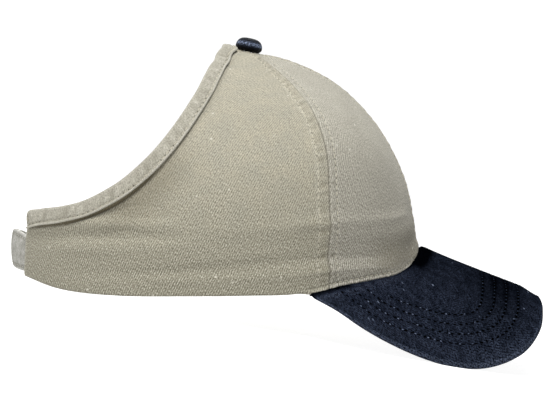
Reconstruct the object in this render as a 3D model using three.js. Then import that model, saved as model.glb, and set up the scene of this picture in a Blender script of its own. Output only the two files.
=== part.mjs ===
import * as THREE from 'three';

// A ponytail cap: four crown panels, a bound opening at the back, a button, a peak and a closing strap.
// Millimetres. +X is the front, +Y the wearer's left and +Z up. The crown is worked out with its rim
// level, and the whole cap is then tipped back until it rests on its peak and the back of its rim.

// Driving dimensions
const rim = { front: 101.7, back: 95, half: 80 };      // reach of the rim from its centre
const crownTop = { forward: 20.1, height: 113.2 };     // where the panels meet under the button
const cloth = 1.3;                                     // one layer of cotton twill with its facing
const hem = { height: 12, extra: 1.3, blend: 4 };      // the rim is turned up once inside
const seamGap = 0.3;                                   // clearance between neighbouring pieces
const frontSeamAngle = 52.6;                           // front seam, in degrees from the centre front
const tipRise = 0.975;                                 // the panels stop here, round the button's stem

// Height of the rim above the level plane, by angle from the front
const rimAngle = [0, 12, 18, 25, 38, 50, 57, 63, 75, 90, 110, 130, 150, 180];
const rimHeight = [18.5, 13.6, 10.8, 8.5, 6.2, 3.6, 1.2, 0, -0.4, -0.6, -0.7, 1.4, 6.8, 8.7];

// Profile of the crown at five angles: the share of the rim's reach, and of the crown's height,
// at even steps from the rim to the button
const profileAngle = [0, frontSeamAngle, 90, 135, 180];
const profileRows = [
  // front          seam            side            quarter         back
  [0.982, 0.000,    1.000, 0.000,   1.000, 0.000,   1.000, 0.000,   1.000, 0.000],
  [0.960, 0.173,    0.993, 0.184,   1.000, 0.184,   0.997, 0.185,   0.995, 0.180],
  [0.917, 0.345,    0.997, 0.368,   0.992, 0.368,   0.975, 0.370,   0.970, 0.360],
  [0.841, 0.509,    0.963, 0.551,   0.957, 0.545,   0.910, 0.550,   0.910, 0.530],
  [0.729, 0.661,    0.825, 0.706,   0.862, 0.700,   0.800, 0.710,   0.800, 0.690],
  [0.582, 0.793,    0.622, 0.815,   0.700, 0.830,   0.645, 0.840,   0.630, 0.840],
  [0.400, 0.895,    0.389, 0.900,   0.490, 0.925,   0.445, 0.945,   0.430, 0.970],
  [0.196, 0.972,    0.146, 0.970,   0.250, 0.980,   0.220, 1.020,   0.210, 1.035],
  [0.000, 1.000,    0.000, 1.000,   0.000, 1.000,   0.000, 1.000,   0.000, 1.000],
];

// Edge of the ponytail opening, from the back corner of a side panel up to the centre back:
// angle from the front, and share of the way up the profile
const openingEdge = [
  [148.4, 0.192], [139.6, 0.214], [131.7, 0.229], [122.9, 0.251], [115.0, 0.287], [109.6, 0.322],
  [104.1, 0.374], [100.1, 0.429], [97.1, 0.489], [95.1, 0.554], [94.1, 0.629], [95.6, 0.727],
  [99.2, 0.796], [116.9, 0.889], [145.0, 0.924], [180.0, 0.935],
];
const backEdgeAngle = 149;                             // upright back edge of the side panels

// Soft folds round the crown: height above the level plane, half width, push outwards, and the
// angles between which each one shows
const folds = [
  { height: 29.5, spread: 6.0, push: 0.9, from: 6, to: 62 },
  { height: 19.0, spread: 5.0, push: -0.7, from: 6, to: 66 },
  { height: 9.5, spread: 4.0, push: 0.6, from: 12, to: 60 },
  { height: 9.3, spread: 2.5, push: -0.5, from: 66, to: 108 },
  { height: 31.0, spread: 3.5, push: 0.6, from: 106, to: 132 },
  { height: 26.0, spread: 3.0, push: -0.6, from: 112, to: 140 },
  { height: 19.5, spread: 4.0, push: 0.6, from: 100, to: 138 },
];
const foldFade = 10;                                   // degrees over which a fold dies out

// Binding of the opening
const binding = { width: 8, widthAtTop: 5.2, cloth: 0.9, groove: 1.2, panelEdge: 1.8, stations: 34 };

// Peak: line along the middle of its rounded edge, by share of the way from the centre to its end, as
// reach forward, distance out to the side, and height
const peakEdge = [
  { share: 0.00, forward: 157.3, out: 0.0, up: -3.3 },
  { share: 0.15, forward: 157.4, out: 18.3, up: -7.9 },
  { share: 0.30, forward: 155.5, out: 35.5, up: -17.6 },
  { share: 0.45, forward: 146.6, out: 50.0, up: -27.3 },
  { share: 0.60, forward: 128.4, out: 61.6, up: -32.2 },
  { share: 0.75, forward: 105.3, out: 70.8, up: -27.7 },
  { share: 0.90, forward: 75.7, out: 77.0, up: -12.4 },
  { share: 0.95, forward: 65.2, out: 73.6, up: -5.7 },
];
const peak = {
  endAngle: 58.6, thickness: 3.2, endThickness: 1.4, edgeThickness: 1.2, gap: 0.45, stations: 13, roll: 2,
};
const peakRows = [0, 0.07, 0.2, 0.36, 0.52, 0.68, 0.84, 1];   // steps from the crown to the edge

// Button, its stem through the crown and the plate that holds it inside
const button = {
  radius: 6.4, height: 5.4, flat: 2.4, stem: 1.5, plate: 4.6, plateHeight: 1, tilt: 9, back: 0.3,
};

// Closing strap: each half starts inside its panel and overlaps the other at the centre back
const strap = { width: 16.7, cloth: 1.2, tucked: 39, past: 15, step: 3, slack: 0.15, bow: 1 };
// Height of the strap's lower edge, by degrees from the centre back towards the wearer's right
const strapAngle = [-39, -26, -14, -6, 0, 6, 15, 22, 27, 31, 39];
const strapLow = [7.6, 7.2, 7.9, 10.1, 10.9, 11.3, 11.5, 9.9, 8.4, 7.6, 7.2];

const degrees = THREE.MathUtils.degToRad;
const { smoothstep, lerp } = THREE.MathUtils;

// Value at x of the smooth curve through the points (xs, ys). With flatEnds the curve is level at
// both ends, as it is where the cap mirrors itself.
function smoothCurve(xs, ys, x, flatEnds = false) {
  const last = xs.length - 1;
  let i = 0;
  while (i < last - 1 && x > xs[i + 1]) i += 1;
  const slope = (k) => {
    if (k === 0) return flatEnds ? 0 : (ys[1] - ys[0]) / (xs[1] - xs[0]);
    if (k === last) return flatEnds ? 0 : (ys[last] - ys[last - 1]) / (xs[last] - xs[last - 1]);
    const before = xs[k] - xs[k - 1];
    const after = xs[k + 1] - xs[k];
    const slopeBefore = (ys[k] - ys[k - 1]) / before;
    const slopeAfter = (ys[k + 1] - ys[k]) / after;
    return (slopeAfter * before + slopeBefore * after) / (before + after);
  };
  const step = xs[i + 1] - xs[i];
  const t = (x - xs[i]) / step;
  const t2 = t * t;
  const t3 = t2 * t;
  return (2 * t3 - 3 * t2 + 1) * ys[i] + (t3 - 2 * t2 + t) * step * slope(i)
    + (3 * t2 - 2 * t3) * ys[i + 1] + (t3 - t2) * step * slope(i + 1);
}

// Reach and height shares of the crown's profile at an angle and a share of the way up
function profile(angle, rise) {
  const steps = profileRows.map((row, i) => i / (profileRows.length - 1));
  return [0, 1].map((which) => {
    const across = profileAngle.map((a, column) => (
      smoothCurve(steps, profileRows.map((row) => row[2 * column + which]), rise)));
    return smoothCurve(profileAngle, across, angle, true);
  });
}

// Outward push of the soft folds
function foldPush(angle, height) {
  return folds.reduce((sum, fold) => {
    const shows = smoothstep(angle, fold.from - foldFade, fold.from + foldFade)
      * (1 - smoothstep(angle, fold.to - foldFade, fold.to + foldFade));
    return sum + fold.push * shows * Math.exp(-(((height - fold.height) / fold.spread) ** 2));
  }, 0);
}

// Outer face of the crown on the wearer's left; angles run from 0 at the front to 180 at the back
function crown(angle, rise) {
  const [reach, height] = profile(angle, rise);
  const c = Math.cos(degrees(angle));
  const s = Math.sin(degrees(angle));
  const along = c > 0 ? rim.front : rim.back;
  const base = smoothCurve(rimAngle, rimHeight, angle, true);
  const x = crownTop.forward + (along * c - crownTop.forward) * reach;
  const y = rim.half * s * reach;
  const z = base + (crownTop.height - base) * height;
  const outward = new THREE.Vector3(c / along, s / rim.half, 0).normalize();
  return new THREE.Vector3(x, y, z).addScaledVector(outward, foldPush(angle, z));
}

// Changes of the crown's face for a small change of angle and of rise
function crownSlopes(angle, rise) {
  const dAngle = 0.2;
  const dRise = 0.001;
  const byAngle = crown(angle + dAngle, rise).sub(crown(angle - dAngle, rise)).divideScalar(2 * dAngle);
  const up = Math.min(rise + dRise, 1);
  const byRise = crown(angle, up).sub(crown(angle, rise - dRise)).divideScalar(up - rise + dRise);
  return [byAngle, byRise];
}

function crownNormal(angle, rise) {
  const [byAngle, byRise] = crownSlopes(angle, rise);
  return byAngle.cross(byRise).normalize();
}

// Moves a distance over the crown's face, keeping as straight as the face allows
function walk([angle, rise], direction, distance, steps = 4) {
  const heading = direction.clone().normalize();
  for (let i = 0; i < steps; i += 1) {
    const [a, r] = crownSlopes(angle, rise);
    const [aa, ar, rr] = [a.dot(a), a.dot(r), r.dot(r)];
    const [ah, rh] = [a.dot(heading), r.dot(heading)];
    const scale = distance / steps / (aa * rr - ar * ar);
    angle += (ah * rr - rh * ar) * scale;
    rise += (rh * aa - ah * ar) * scale;
    heading.projectOnPlane(crownNormal(angle, rise)).normalize();
  }
  return [angle, rise];
}

// A curve of [angle, rise] pairs on the crown, given by a function of share 0 to 1, resampled so that
// its stations are evenly spaced in millimetres, or as the spacing function shifts them
function evenStations(curve, count, spacing = (share) => share) {
  const fine = 40 * count;
  const shares = [0];
  const lengths = [0];
  let previous = crown(...curve(0));
  for (let i = 1; i <= fine; i += 1) {
    const point = crown(...curve(i / fine));
    shares.push(i / fine);
    lengths.push(lengths[i - 1] + point.distanceTo(previous));
    previous = point;
  }
  const stations = [];
  let k = 0;
  for (let i = 0; i <= count; i += 1) {
    const target = lengths[fine] * spacing(i / count);
    while (k < fine - 1 && lengths[k + 1] < target) k += 1;
    const part = (target - lengths[k]) / (lengths[k + 1] - lengths[k]);
    stations.push(curve(lerp(shares[k], shares[k + 1], part)));
  }
  return stations;
}

// Mesh and solid helpers
function geometryOf(points, faces) {
  const geometry = new THREE.BufferGeometry();
  geometry.setAttribute('position', new THREE.Float32BufferAttribute(points.flatMap((p) => p.toArray()), 3));
  geometry.setIndex(faces.flat());
  if (signedVolume(points, faces) < 0) geometry.setIndex(faces.map(([a, b, c]) => [a, c, b]).flat());
  geometry.computeVertexNormals();
  return geometry;
}

function signedVolume(points, faces) {
  const cross = new THREE.Vector3();
  return faces.reduce((sum, [a, b, c]) => (
    sum + points[a].dot(cross.crossVectors(points[b], points[c])) / 6), 0);
}

// A closed wall over a grid of points: grid[row][column] is the outer face, and inner(row, column)
// gives the point behind it
function wall(grid, inner) {
  const rows = grid.length;
  const columns = grid[0].length;
  const points = grid.flat().concat(grid.flatMap((line, r) => line.map((p, c) => inner(r, c))));
  const behind = rows * columns;
  const at = (r, c) => r * columns + c;
  const faces = [];
  const quad = (a, b, c, d) => faces.push([a, b, c], [a, c, d]);
  for (let r = 0; r < rows - 1; r += 1) {
    for (let c = 0; c < columns - 1; c += 1) {
      quad(at(r, c), at(r, c + 1), at(r + 1, c + 1), at(r + 1, c));
      quad(behind + at(r, c), behind + at(r + 1, c), behind + at(r + 1, c + 1), behind + at(r, c + 1));
    }
  }
  const border = [];
  for (let c = 0; c < columns - 1; c += 1) border.push(at(0, c));
  for (let r = 0; r < rows - 1; r += 1) border.push(at(r, columns - 1));
  for (let c = columns - 1; c > 0; c -= 1) border.push(at(rows - 1, c));
  for (let r = rows - 1; r > 0; r -= 1) border.push(at(r, 0));
  border.forEach((a, i) => {
    const b = border[(i + 1) % border.length];
    quad(b, a, behind + a, behind + b);
  });
  return geometryOf(points, faces);
}

// Normals of a grid of points, from its neighbours
function gridNormal(grid, r, c) {
  const row = grid[r];
  const across = row[Math.min(c + 1, row.length - 1)].clone().sub(row[Math.max(c - 1, 0)]);
  const up = grid[Math.min(r + 1, grid.length - 1)][c].clone().sub(grid[Math.max(r - 1, 0)][c]);
  return across.cross(up).normalize();
}

const material = (name, color, roughness) => (
  new THREE.MeshStandardMaterial({ name, color, roughness, metalness: 0 }));
const khakiTwill = material('khaki twill', 0xb3ae9d, 0.9);
const bindingTwill = material('binding twill', 0xa7a28f, 0.9);
const navyTwill = material('navy twill', 0x1d222d, 0.85);
const strapTwill = material('strap twill', 0xa9a79b, 0.9);

const cap = new THREE.Group();

function addMesh(name, geometry, finish) {
  const mesh = new THREE.Mesh(geometry, finish);
  mesh.name = name;
  cap.add(mesh);
}

// The same piece for the other side of the cap
function mirrored(geometry) {
  const copy = geometry.clone().scale(1, -1, 1);
  const index = Array.from(copy.index.array);
  for (let i = 0; i < index.length; i += 3) [index[i], index[i + 1]] = [index[i + 1], index[i]];
  copy.setIndex(index);
  copy.computeVertexNormals();
  return copy;
}

// Angle moved by half the seam gap, so that neighbouring panels stay clear of each other
function besideSeam([angle, rise], sign) {
  const perDegree = crownSlopes(angle, rise)[0].length();
  return [angle + (sign * seamGap) / 2 / perDegree, rise];
}

// One crown panel between two edges, each a list of [angle, rise] stations of the same length. Columns
// above 0 for crowding are closer together along the second edge.
function panel(firstEdge, secondEdge, columns, crowding = 0) {
  const places = firstEdge.map((first, r) => (
    Array.from({ length: columns + 1 }, (unused, c) => {
      const share = (c / columns) * (1 + crowding * (1 - c / columns));
      return [0, 1].map((k) => lerp(first[k], secondEdge[r][k], share));
    })));
  const grid = places.map((line) => line.map((place) => crown(...place)));
  const thickness = ([angle, rise]) => {
    const above = crown(angle, rise).z - crown(angle, 0).z;
    return cloth + hem.extra * (1 - smoothstep(above, hem.height, hem.height + hem.blend));
  };
  return wall(grid, (r, c) => {
    const normal = crownNormal(...places[r][c]);
    if (r === 0) normal.setZ(0).normalize();
    const point = grid[r][c].clone().addScaledVector(normal, -thickness(places[r][c]));
    return point.setY(Math.max(point.y, seamGap / 2));
  });
}

// Front panels: from the centre front to the front seam
const panelRows = 26;
const frontColumns = 10;
const crowdedTop = (share) => share + 0.6 * share ** 3 * (1 - share);
const seamStations = evenStations((share) => [frontSeamAngle, tipRise * share], panelRows, crowdedTop);
const centreFront = evenStations((share) => [0, tipRise * share], panelRows, crowdedTop);
const frontPanel = panel(
  centreFront.map((place) => besideSeam(place, 1)),
  seamStations.map((place) => besideSeam(place, -1)),
  frontColumns,
);
addMesh('front_panel_left', frontPanel, khakiTwill);
addMesh('front_panel_right', mirrored(frontPanel), khakiTwill);

// The opening's edge, as a curve on the crown by share of its way up
const edgeShares = openingEdge.map((row, i) => i / (openingEdge.length - 1));
const openingCurve = (share) => (
  [0, 1].map((k) => smoothCurve(edgeShares, openingEdge.map((row) => row[k]), share)));

// Frame of the opening's edge at a share: the face's normal, and the way in from the edge
function edgeFrame(share) {
  const step = 0.004;
  const before = crown(...openingCurve(Math.max(share - step, 0)));
  const after = crown(...openingCurve(Math.min(share + step, 1)));
  const along = after.sub(before).normalize();
  if (share > 1 - step) along.set(0, -1, 0);
  const normal = crownNormal(...openingCurve(share));
  return { along, normal, inward: normal.clone().cross(along).normalize() };
}

// Side panels: from the front seam to the back edge, the opening and the centre back
const sideColumns = 18;
const edgeCrowding = 0.3;
const backRows = 5;
const joinRows = 2;
const edgeRows = panelRows - backRows - joinRows;
const edgeStations = evenStations(openingCurve, edgeRows);
const shareOf = (place) => {
  let best = 0;
  let nearest = Infinity;
  for (let i = 0; i <= 600; i += 1) {
    const distance = crown(...openingCurve(i / 600)).distanceTo(crown(...place));
    if (distance < nearest) [best, nearest] = [i / 600, distance];
  }
  return best;
};
const insetEdge = edgeStations.map((place) => walk(place, edgeFrame(shareOf(place)).inward, binding.panelEdge));
insetEdge[0] = [backEdgeAngle, insetEdge[0][1]];
insetEdge[edgeRows][0] = 180;
const backEdge = Array.from({ length: backRows }, (unused, i) => (
  [backEdgeAngle, (insetEdge[0][1] * i) / backRows]));
const centreJoin = Array.from({ length: joinRows }, (unused, i) => (
  [180, lerp(insetEdge[edgeRows][1], tipRise, (i + 1) / joinRows)]));
const outline = [...backEdge, ...insetEdge, ...centreJoin];
const sidePanel = panel(
  seamStations.map((place) => besideSeam(place, 1)),
  outline.map((place, i) => (i >= backRows + edgeRows ? besideSeam(place, -1) : place)),
  sideColumns,
  edgeCrowding,
);
addMesh('side_panel_left', sidePanel, khakiTwill);
addMesh('side_panel_right', mirrored(sidePanel), khakiTwill);

// Binding: a folded strip whose section wraps the panel's edge. Each section point is the distance in
// from the fold, and the distance out from the crown's outer face.
const clear = seamGap + 0.05;
const outside = clear + binding.cloth;
const inside = -cloth - clear;
const bindingSection = [
  [binding.width, outside], [4, outside + 0.1], [1.3, outside], [0.3, outside - 0.8],
  [0, -cloth / 2], [0.3, inside - binding.cloth + 0.8], [1.3, inside - binding.cloth],
  [4, inside - binding.cloth - 0.1], [binding.width, inside - binding.cloth],
  [binding.width, inside], [binding.groove, inside], [binding.groove, clear], [binding.width, clear],
];

function bindingSectionAt(share) {
  const place = openingCurve(share);
  const { inward } = edgeFrame(share);
  const narrow = lerp(1, binding.widthAtTop / binding.width, smoothstep(share, 0.85, 0.97));
  return bindingSection.map(([distance, height]) => {
    const there = walk(place, inward, distance > binding.groove + seamGap ? distance * narrow : distance);
    return crown(...there).addScaledVector(crownNormal(...there), height);
  });
}

function sweptSolid(sections) {
  const count = sections[0].length;
  const points = sections.flat();
  const faces = [];
  for (let s = 0; s < sections.length - 1; s += 1) {
    for (let i = 0; i < count; i += 1) {
      const j = (i + 1) % count;
      const [a, b] = [s * count + i, s * count + j];
      faces.push([a, b, b + count], [a, b + count, a + count]);
    }
  }
  const outlineAt = (s) => THREE.ShapeUtils.triangulateShape(
    bindingSection.map(([u, v]) => new THREE.Vector2(u, v)), []).map((f) => f.map((k) => k + s * count));
  const flip = outlineAt(0).map(([a, b, c]) => [a, c, b]);
  faces.push(...flip, ...outlineAt(sections.length - 1));
  return geometryOf(points, faces);
}

const halfBinding = evenStations(openingCurve, binding.stations).map(shareOf).map(bindingSectionAt);
halfBinding[binding.stations].forEach((point) => point.setY(0));
const otherHalf = halfBinding.slice(0, -1).reverse()
  .map((section) => section.map((point) => new THREE.Vector3(point.x, -point.y, point.z)));
addMesh('opening_binding', sweptSolid([...halfBinding, ...otherHalf]), bindingTwill);

// Peak: its root is tucked under the crown's wall, rolls up just in front of it and then runs straight
// to the edge. The grid lies in the middle of the board.
const rimPoint = (angle) => crown(angle, 0);
const peakEnd = rimPoint(peak.endAngle);
const peakShares = [...peakEdge.map((row) => row.share), 1];
const mirrorShares = [-0.3, -0.15, ...peakShares];

function peakEdgeAt(share) {
  const end = { forward: peakEnd.x, out: peakEnd.y, up: peakEnd.z - peak.gap - peak.endThickness / 2 };
  return new THREE.Vector3(...['forward', 'out', 'up'].map((key) => {
    const values = [...peakEdge.map((row) => row[key]), end[key]];
    const sign = key === 'out' ? -1 : 1;
    return smoothCurve(mirrorShares, [sign * values[2], sign * values[1], ...values], share);
  }));
}

const peakThickness = (share) => lerp(peak.thickness, peak.endThickness, Math.abs(share) ** 4);

function peakLine(share) {
  const angle = share * peak.endAngle;
  const root = rimPoint(angle);
  root.z -= peak.gap + peakThickness(share) / 2;
  const outward = crownNormal(angle, 0).setZ(0).normalize();
  const edge = peakEdgeAt(share);
  const line = [root.clone().addScaledVector(outward, -cloth - hem.extra)];
  peakRows.forEach((row, i) => {
    const roll = i === 0 ? 0 : peak.roll * (1 - share ** 4) * (1 - row);
    line.push(root.clone().lerp(edge, row).add(new THREE.Vector3(0, 0, roll)));
  });
  const forward = share === 1 ? outward : edge.clone().sub(root).normalize();
  line.push(edge.clone().addScaledVector(forward, peakThickness(share) / 2));
  return line;
}

const peakShareAt = (i) => i / peak.stations;
const peakHalf = Array.from({ length: peak.stations + 1 }, (unused, i) => peakLine(peakShareAt(i)));
const peakMiddle = [
  ...peakHalf.slice(1).reverse().map((line) => line.map((p) => new THREE.Vector3(p.x, -p.y, p.z))),
  ...peakHalf,
];

// Half the board's thickness at a grid place, as a vector towards its top face
function peakHalfThickness(r, c) {
  const share = peakShareAt(Math.abs(r - peak.stations));
  const upward = gridNormal(peakMiddle, r, Math.round(peakRows.length / 2));
  if (upward.z < 0) upward.negate();
  upward.add(new THREE.Vector3(0, 0, 0.8)).normalize();
  const lastColumn = peakMiddle[r].length - 1;
  const thickness = c === lastColumn ? Math.min(peak.edgeThickness, peakThickness(share)) : peakThickness(share);
  return upward.multiplyScalar(thickness / 2);
}
const peakTop = peakMiddle.map((line, r) => line.map((p, c) => p.clone().add(peakHalfThickness(r, c))));
addMesh('peak', wall(peakTop, (r, c) => peakMiddle[r][c].clone().sub(peakHalfThickness(r, c))), navyTwill);

// Button: seated just clear of the crown, with its stem and plate in the same turned body
const buttonAxis = new THREE.Vector3(0, 0, 1).applyAxisAngle(new THREE.Vector3(0, 1, 0), degrees(button.tilt));
const topPoint = crown(0, 1);

// Highest and lowest the crown's faces stand, along the button's axis, within a radius of its centre
function crownSpan(radius) {
  let [high, low] = [-Infinity, Infinity];
  for (let angle = 0; angle <= 180; angle += 5) {
    for (let rise = 0.88; rise <= tipRise; rise += 0.005) {
      const offset = crown(angle, rise).sub(topPoint);
      const along = offset.dot(buttonAxis);
      if (Math.sqrt(Math.max(offset.lengthSq() - along * along, 0)) < radius) {
        [high, low] = [Math.max(high, along), Math.min(low, along)];
      }
    }
  }
  return [high, low];
}
const buttonSeat = crownSpan(button.radius - 0.9)[0] + clear;
const plateTop = crownSpan(button.plate)[1] - cloth - clear;
const buttonProfile = [
  [0, plateTop - button.plateHeight], [button.plate, plateTop - button.plateHeight],
  [button.plate, plateTop], [button.stem, plateTop], [button.stem, buttonSeat],
  [button.radius - 0.9, buttonSeat], [button.radius - 0.1, buttonSeat + 1.1],
  [button.radius, buttonSeat + 2.2], [button.radius - 0.5, buttonSeat + 3.5],
  [button.radius - 1.7, buttonSeat + 4.7], [button.flat, buttonSeat + button.height],
  [0, buttonSeat + button.height],
].map(([x, y]) => new THREE.Vector2(x, y));
const buttonSolid = new THREE.LatheGeometry(buttonProfile, 20);
buttonSolid.rotateX(Math.PI / 2).rotateY(degrees(button.tilt)).translate(...topPoint.toArray());
buttonSolid.translate(-button.back, 0, 0);
addMesh('crown_button', buttonSolid, navyTwill);

// Strap halves: bands round the back, sewn inside the panels. The left half runs under the right one.
function strapHalf(layer, side) {
  const columns = (strap.tucked + strap.past) / strap.step;
  const levels = [0, 0.2, 0.5, 0.8, 1];
  const insideHem = -(cloth + hem.extra + clear + strap.slack);
  const grid = Array.from({ length: columns + 1 }, (unused, c) => {
    const angle = 180 - strap.tucked + c * strap.step;
    const fromBack = Math.abs(180 - angle);
    const back = 1 - smoothstep(fromBack, 2, 180 - backEdgeAngle + 2);
    const low = smoothCurve(strapAngle, strapLow, side * (180 - angle));
    const end = Math.max(0, (c - columns + 2) / 2);
    const narrow = 0.5 * (1 - Math.sqrt(1 - 0.8 * end * end));
    const offset = lerp(insideHem, 0, back) - layer * smoothstep(angle, backEdgeAngle, 180 - strap.past);
    const c1 = Math.cos(degrees(angle));
    const s1 = Math.sin(degrees(angle));
    const outward = new THREE.Vector3(c1 / rim.back, s1 / rim.half, 0).normalize();
    return levels.map((level) => lerp(narrow, 1 - narrow, level)).map((level) => (
      new THREE.Vector3(rim.back * c1, rim.half * s1, low + strap.width * level)
        .addScaledVector(outward, offset - strap.bow * (2 * level - 1) ** 2)));
  });
  const inner = (r, c) => {
    const normal = gridNormal(grid, r, c).setZ(0).normalize();
    const outwards = normal.x * grid[r][c].x + normal.y * grid[r][c].y;
    return grid[r][c].clone().addScaledVector(normal, outwards > 0 ? -strap.cloth : strap.cloth);
  };
  return wall(grid, inner);
}
addMesh('strap_left', strapHalf(strap.cloth + clear, -1), strapTwill);
addMesh('strap_right', mirrored(strapHalf(0, 1)), strapTwill);

// Rest: the tilt at which the peak and the back of the rim touch the same level, found by halving
function lowestPoint(meshes, tilt) {
  const c = Math.cos(tilt);
  const s = Math.sin(tilt);
  let lowest = Infinity;
  meshes.forEach((mesh) => {
    const position = mesh.geometry.getAttribute('position');
    for (let i = 0; i < position.count; i += 1) {
      lowest = Math.min(lowest, position.getZ(i) * c + position.getX(i) * s);
    }
  });
  return lowest;
}
const peakMeshes = cap.children.filter((mesh) => mesh.name === 'peak');
const crownMeshes = cap.children.filter((mesh) => mesh.name !== 'peak');
let [tiltLow, tiltHigh] = [0, degrees(30)];
for (let i = 0; i < 40; i += 1) {
  const middle = (tiltLow + tiltHigh) / 2;
  if (lowestPoint(peakMeshes, middle) < lowestPoint(crownMeshes, middle)) tiltLow = middle;
  else tiltHigh = middle;
}
cap.rotation.y = -tiltHigh;

const part = new THREE.Group();
part.add(cap);
part.updateMatrixWorld(true);
const box = new THREE.Box3().setFromObject(part, true);
cap.position.set(-(box.min.x + box.max.x) / 2, -(box.min.y + box.max.y) / 2, -box.min.z);

export default part;
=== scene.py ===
# %% [markdown]
# # A ponytail cap
# A cotton cap with a pale crown and a dark peak, cut away at the back for a ponytail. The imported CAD
# model comes in first and stays as it is. Every visible piece is then made again around it as finer
# cloth, because a faceted solid can't show turned edges, puckered seams and stitches.

# %% Load the frame
import math

import bmesh
import bpy
import numpy as np
from mathutils import Matrix, Vector


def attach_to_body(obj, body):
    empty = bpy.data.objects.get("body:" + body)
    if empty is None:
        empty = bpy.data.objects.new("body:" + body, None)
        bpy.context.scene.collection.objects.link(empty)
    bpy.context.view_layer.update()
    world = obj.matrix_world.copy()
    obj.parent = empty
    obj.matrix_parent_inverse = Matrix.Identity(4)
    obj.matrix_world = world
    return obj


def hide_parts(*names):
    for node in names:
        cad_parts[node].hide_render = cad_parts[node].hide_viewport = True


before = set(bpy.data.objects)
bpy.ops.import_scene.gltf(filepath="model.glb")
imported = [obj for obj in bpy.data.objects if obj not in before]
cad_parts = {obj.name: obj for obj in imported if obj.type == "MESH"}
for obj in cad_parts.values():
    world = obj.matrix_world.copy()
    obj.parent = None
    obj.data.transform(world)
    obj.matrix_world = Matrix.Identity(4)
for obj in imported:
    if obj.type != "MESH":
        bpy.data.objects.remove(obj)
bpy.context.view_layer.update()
scene = bpy.context.scene

# %% [markdown]
# ## Where the cap stands
# The crown is easiest to describe with its rim level, in millimetres: x forward, y to the wearer's
# left, z up. Laid on a surface, the real cap leans back until its peak and the back of its rim touch.
# One turn and one shift take every finished point from the level cap to the resting one.

# %% From the level cap to the resting cap
REST_TURN = -0.1871188
REST_SHIFT = np.array([-30.331, 0.0, 10.033])
MM = 0.001


def at_rest(points):
    """Level cap in millimetres to resting cap in metres."""
    c, s = math.cos(REST_TURN), math.sin(REST_TURN)
    turn = np.array([[c, 0, s], [0, 1, 0], [-s, 0, c]])
    return (np.asarray(points) @ turn.T + REST_SHIFT) * MM


print("the cap leans back by degrees:", round(-math.degrees(REST_TURN), 1))

# %% [markdown]
# ## Steps, bumps and smooth curves
# Worn cloth is soft everywhere, so its relief is built from three soft shapes: a step that rises, one
# that falls, and a bump. A curve through a few numbers does the rest. Each is plain arithmetic on
# whole grids of points at once, which is faster and easier to check than sculpting.

# %% Soft shapes and lengths
def smoothstep(x, low, high):
    t = np.clip((np.asarray(x, float) - low) / (high - low), 0, 1)
    return t * t * (3 - 2 * t)


def falls(x, low, high):
    return 1 - smoothstep(x, low, high)


def between(x, start, end, fade):
    return smoothstep(x, start - fade, start + fade) * falls(x, end - fade, end + fade)


def bump(x, middle, width):
    return np.exp(-(((x - middle) / width) ** 2))


def size_of(vectors):
    return np.linalg.norm(vectors, axis=-1)


def unit(vectors):
    return vectors / np.maximum(size_of(vectors)[..., None], 1e-9)


def run_along(points):
    """Distance along a line of points, from its first."""
    return np.concatenate([[0], np.cumsum(size_of(np.diff(points, axis=0)))])


print("a bump at its width:", round(float(bump(1.0, 0.0, 1.0)), 2))

# %% Smooth curves through a few numbers
def smooth_weights(knots, x, flat_ends=False):
    """Weights of the knots' values that give the smooth curve's value at each x."""
    knots = np.asarray(knots, float)
    x = np.asarray(x, float).ravel()
    gaps = np.diff(knots)
    slope = np.zeros((len(knots), len(knots)))
    for i in range(1, len(knots) - 1):
        before, after = gaps[i - 1], gaps[i]
        ahead = before / after / (before + after)
        behind = after / before / (before + after)
        slope[i, i - 1 : i + 2] = [-behind, behind - ahead, ahead]
    if not flat_ends:
        slope[0, :2] = [-1 / gaps[0], 1 / gaps[0]]
        slope[-1, -2:] = [-1 / gaps[-1], 1 / gaps[-1]]
    i = np.clip(np.searchsorted(knots, x) - 1, 0, len(knots) - 2)
    step = gaps[i]
    t = (x - knots[i]) / step
    rows = np.arange(len(x))
    weights = np.zeros((len(x), len(knots)))
    weights[rows, i] += 2 * t**3 - 3 * t**2 + 1
    weights[rows, i + 1] += 3 * t**2 - 2 * t**3
    weights += ((t**3 - 2 * t**2 + t) * step)[:, None] * slope[i]
    weights += ((t**3 - t**2) * step)[:, None] * slope[i + 1]
    return weights


def smooth_curve(knots, values, x, flat_ends=False):
    return smooth_weights(knots, x, flat_ends) @ np.asarray(values, float)


print("halfway along a curve:", smooth_curve([0, 1, 2], [0, 1, 0], [0.5]).round(2))

# %% [markdown]
# ## The crown's face
# A cap's crown is sewn from flat gores, and once sewn it is a dome whose side view, front view and
# seams all differ. It could be sculpted, but a short table is easier to check: at five angles round
# the head it gives how far out and how high the cloth stands, from the rim to the button. Smooth
# curves fill in the rest. The same table makes the solid crown, so the cloth lies where the solid is.

# %% The crown's table
RIM_FRONT, RIM_BACK, RIM_HALF = 101.7, 95.0, 80.0
TOP_FORWARD, TOP_HEIGHT = 20.1, 113.2
FRONT_SEAM, BACK_EDGE = 52.6, 149.0
RIM_ANGLE = [0, 12, 18, 25, 38, 50, 57, 63, 75, 90, 110, 130, 150, 180]
RIM_HEIGHT = [18.5, 13.6, 10.8, 8.5, 6.2, 3.6, 1.2, 0, -0.4, -0.6, -0.7, 1.4, 6.8, 8.7]
PROFILE_ANGLE = [0, FRONT_SEAM, 90, 135, 180]
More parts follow.
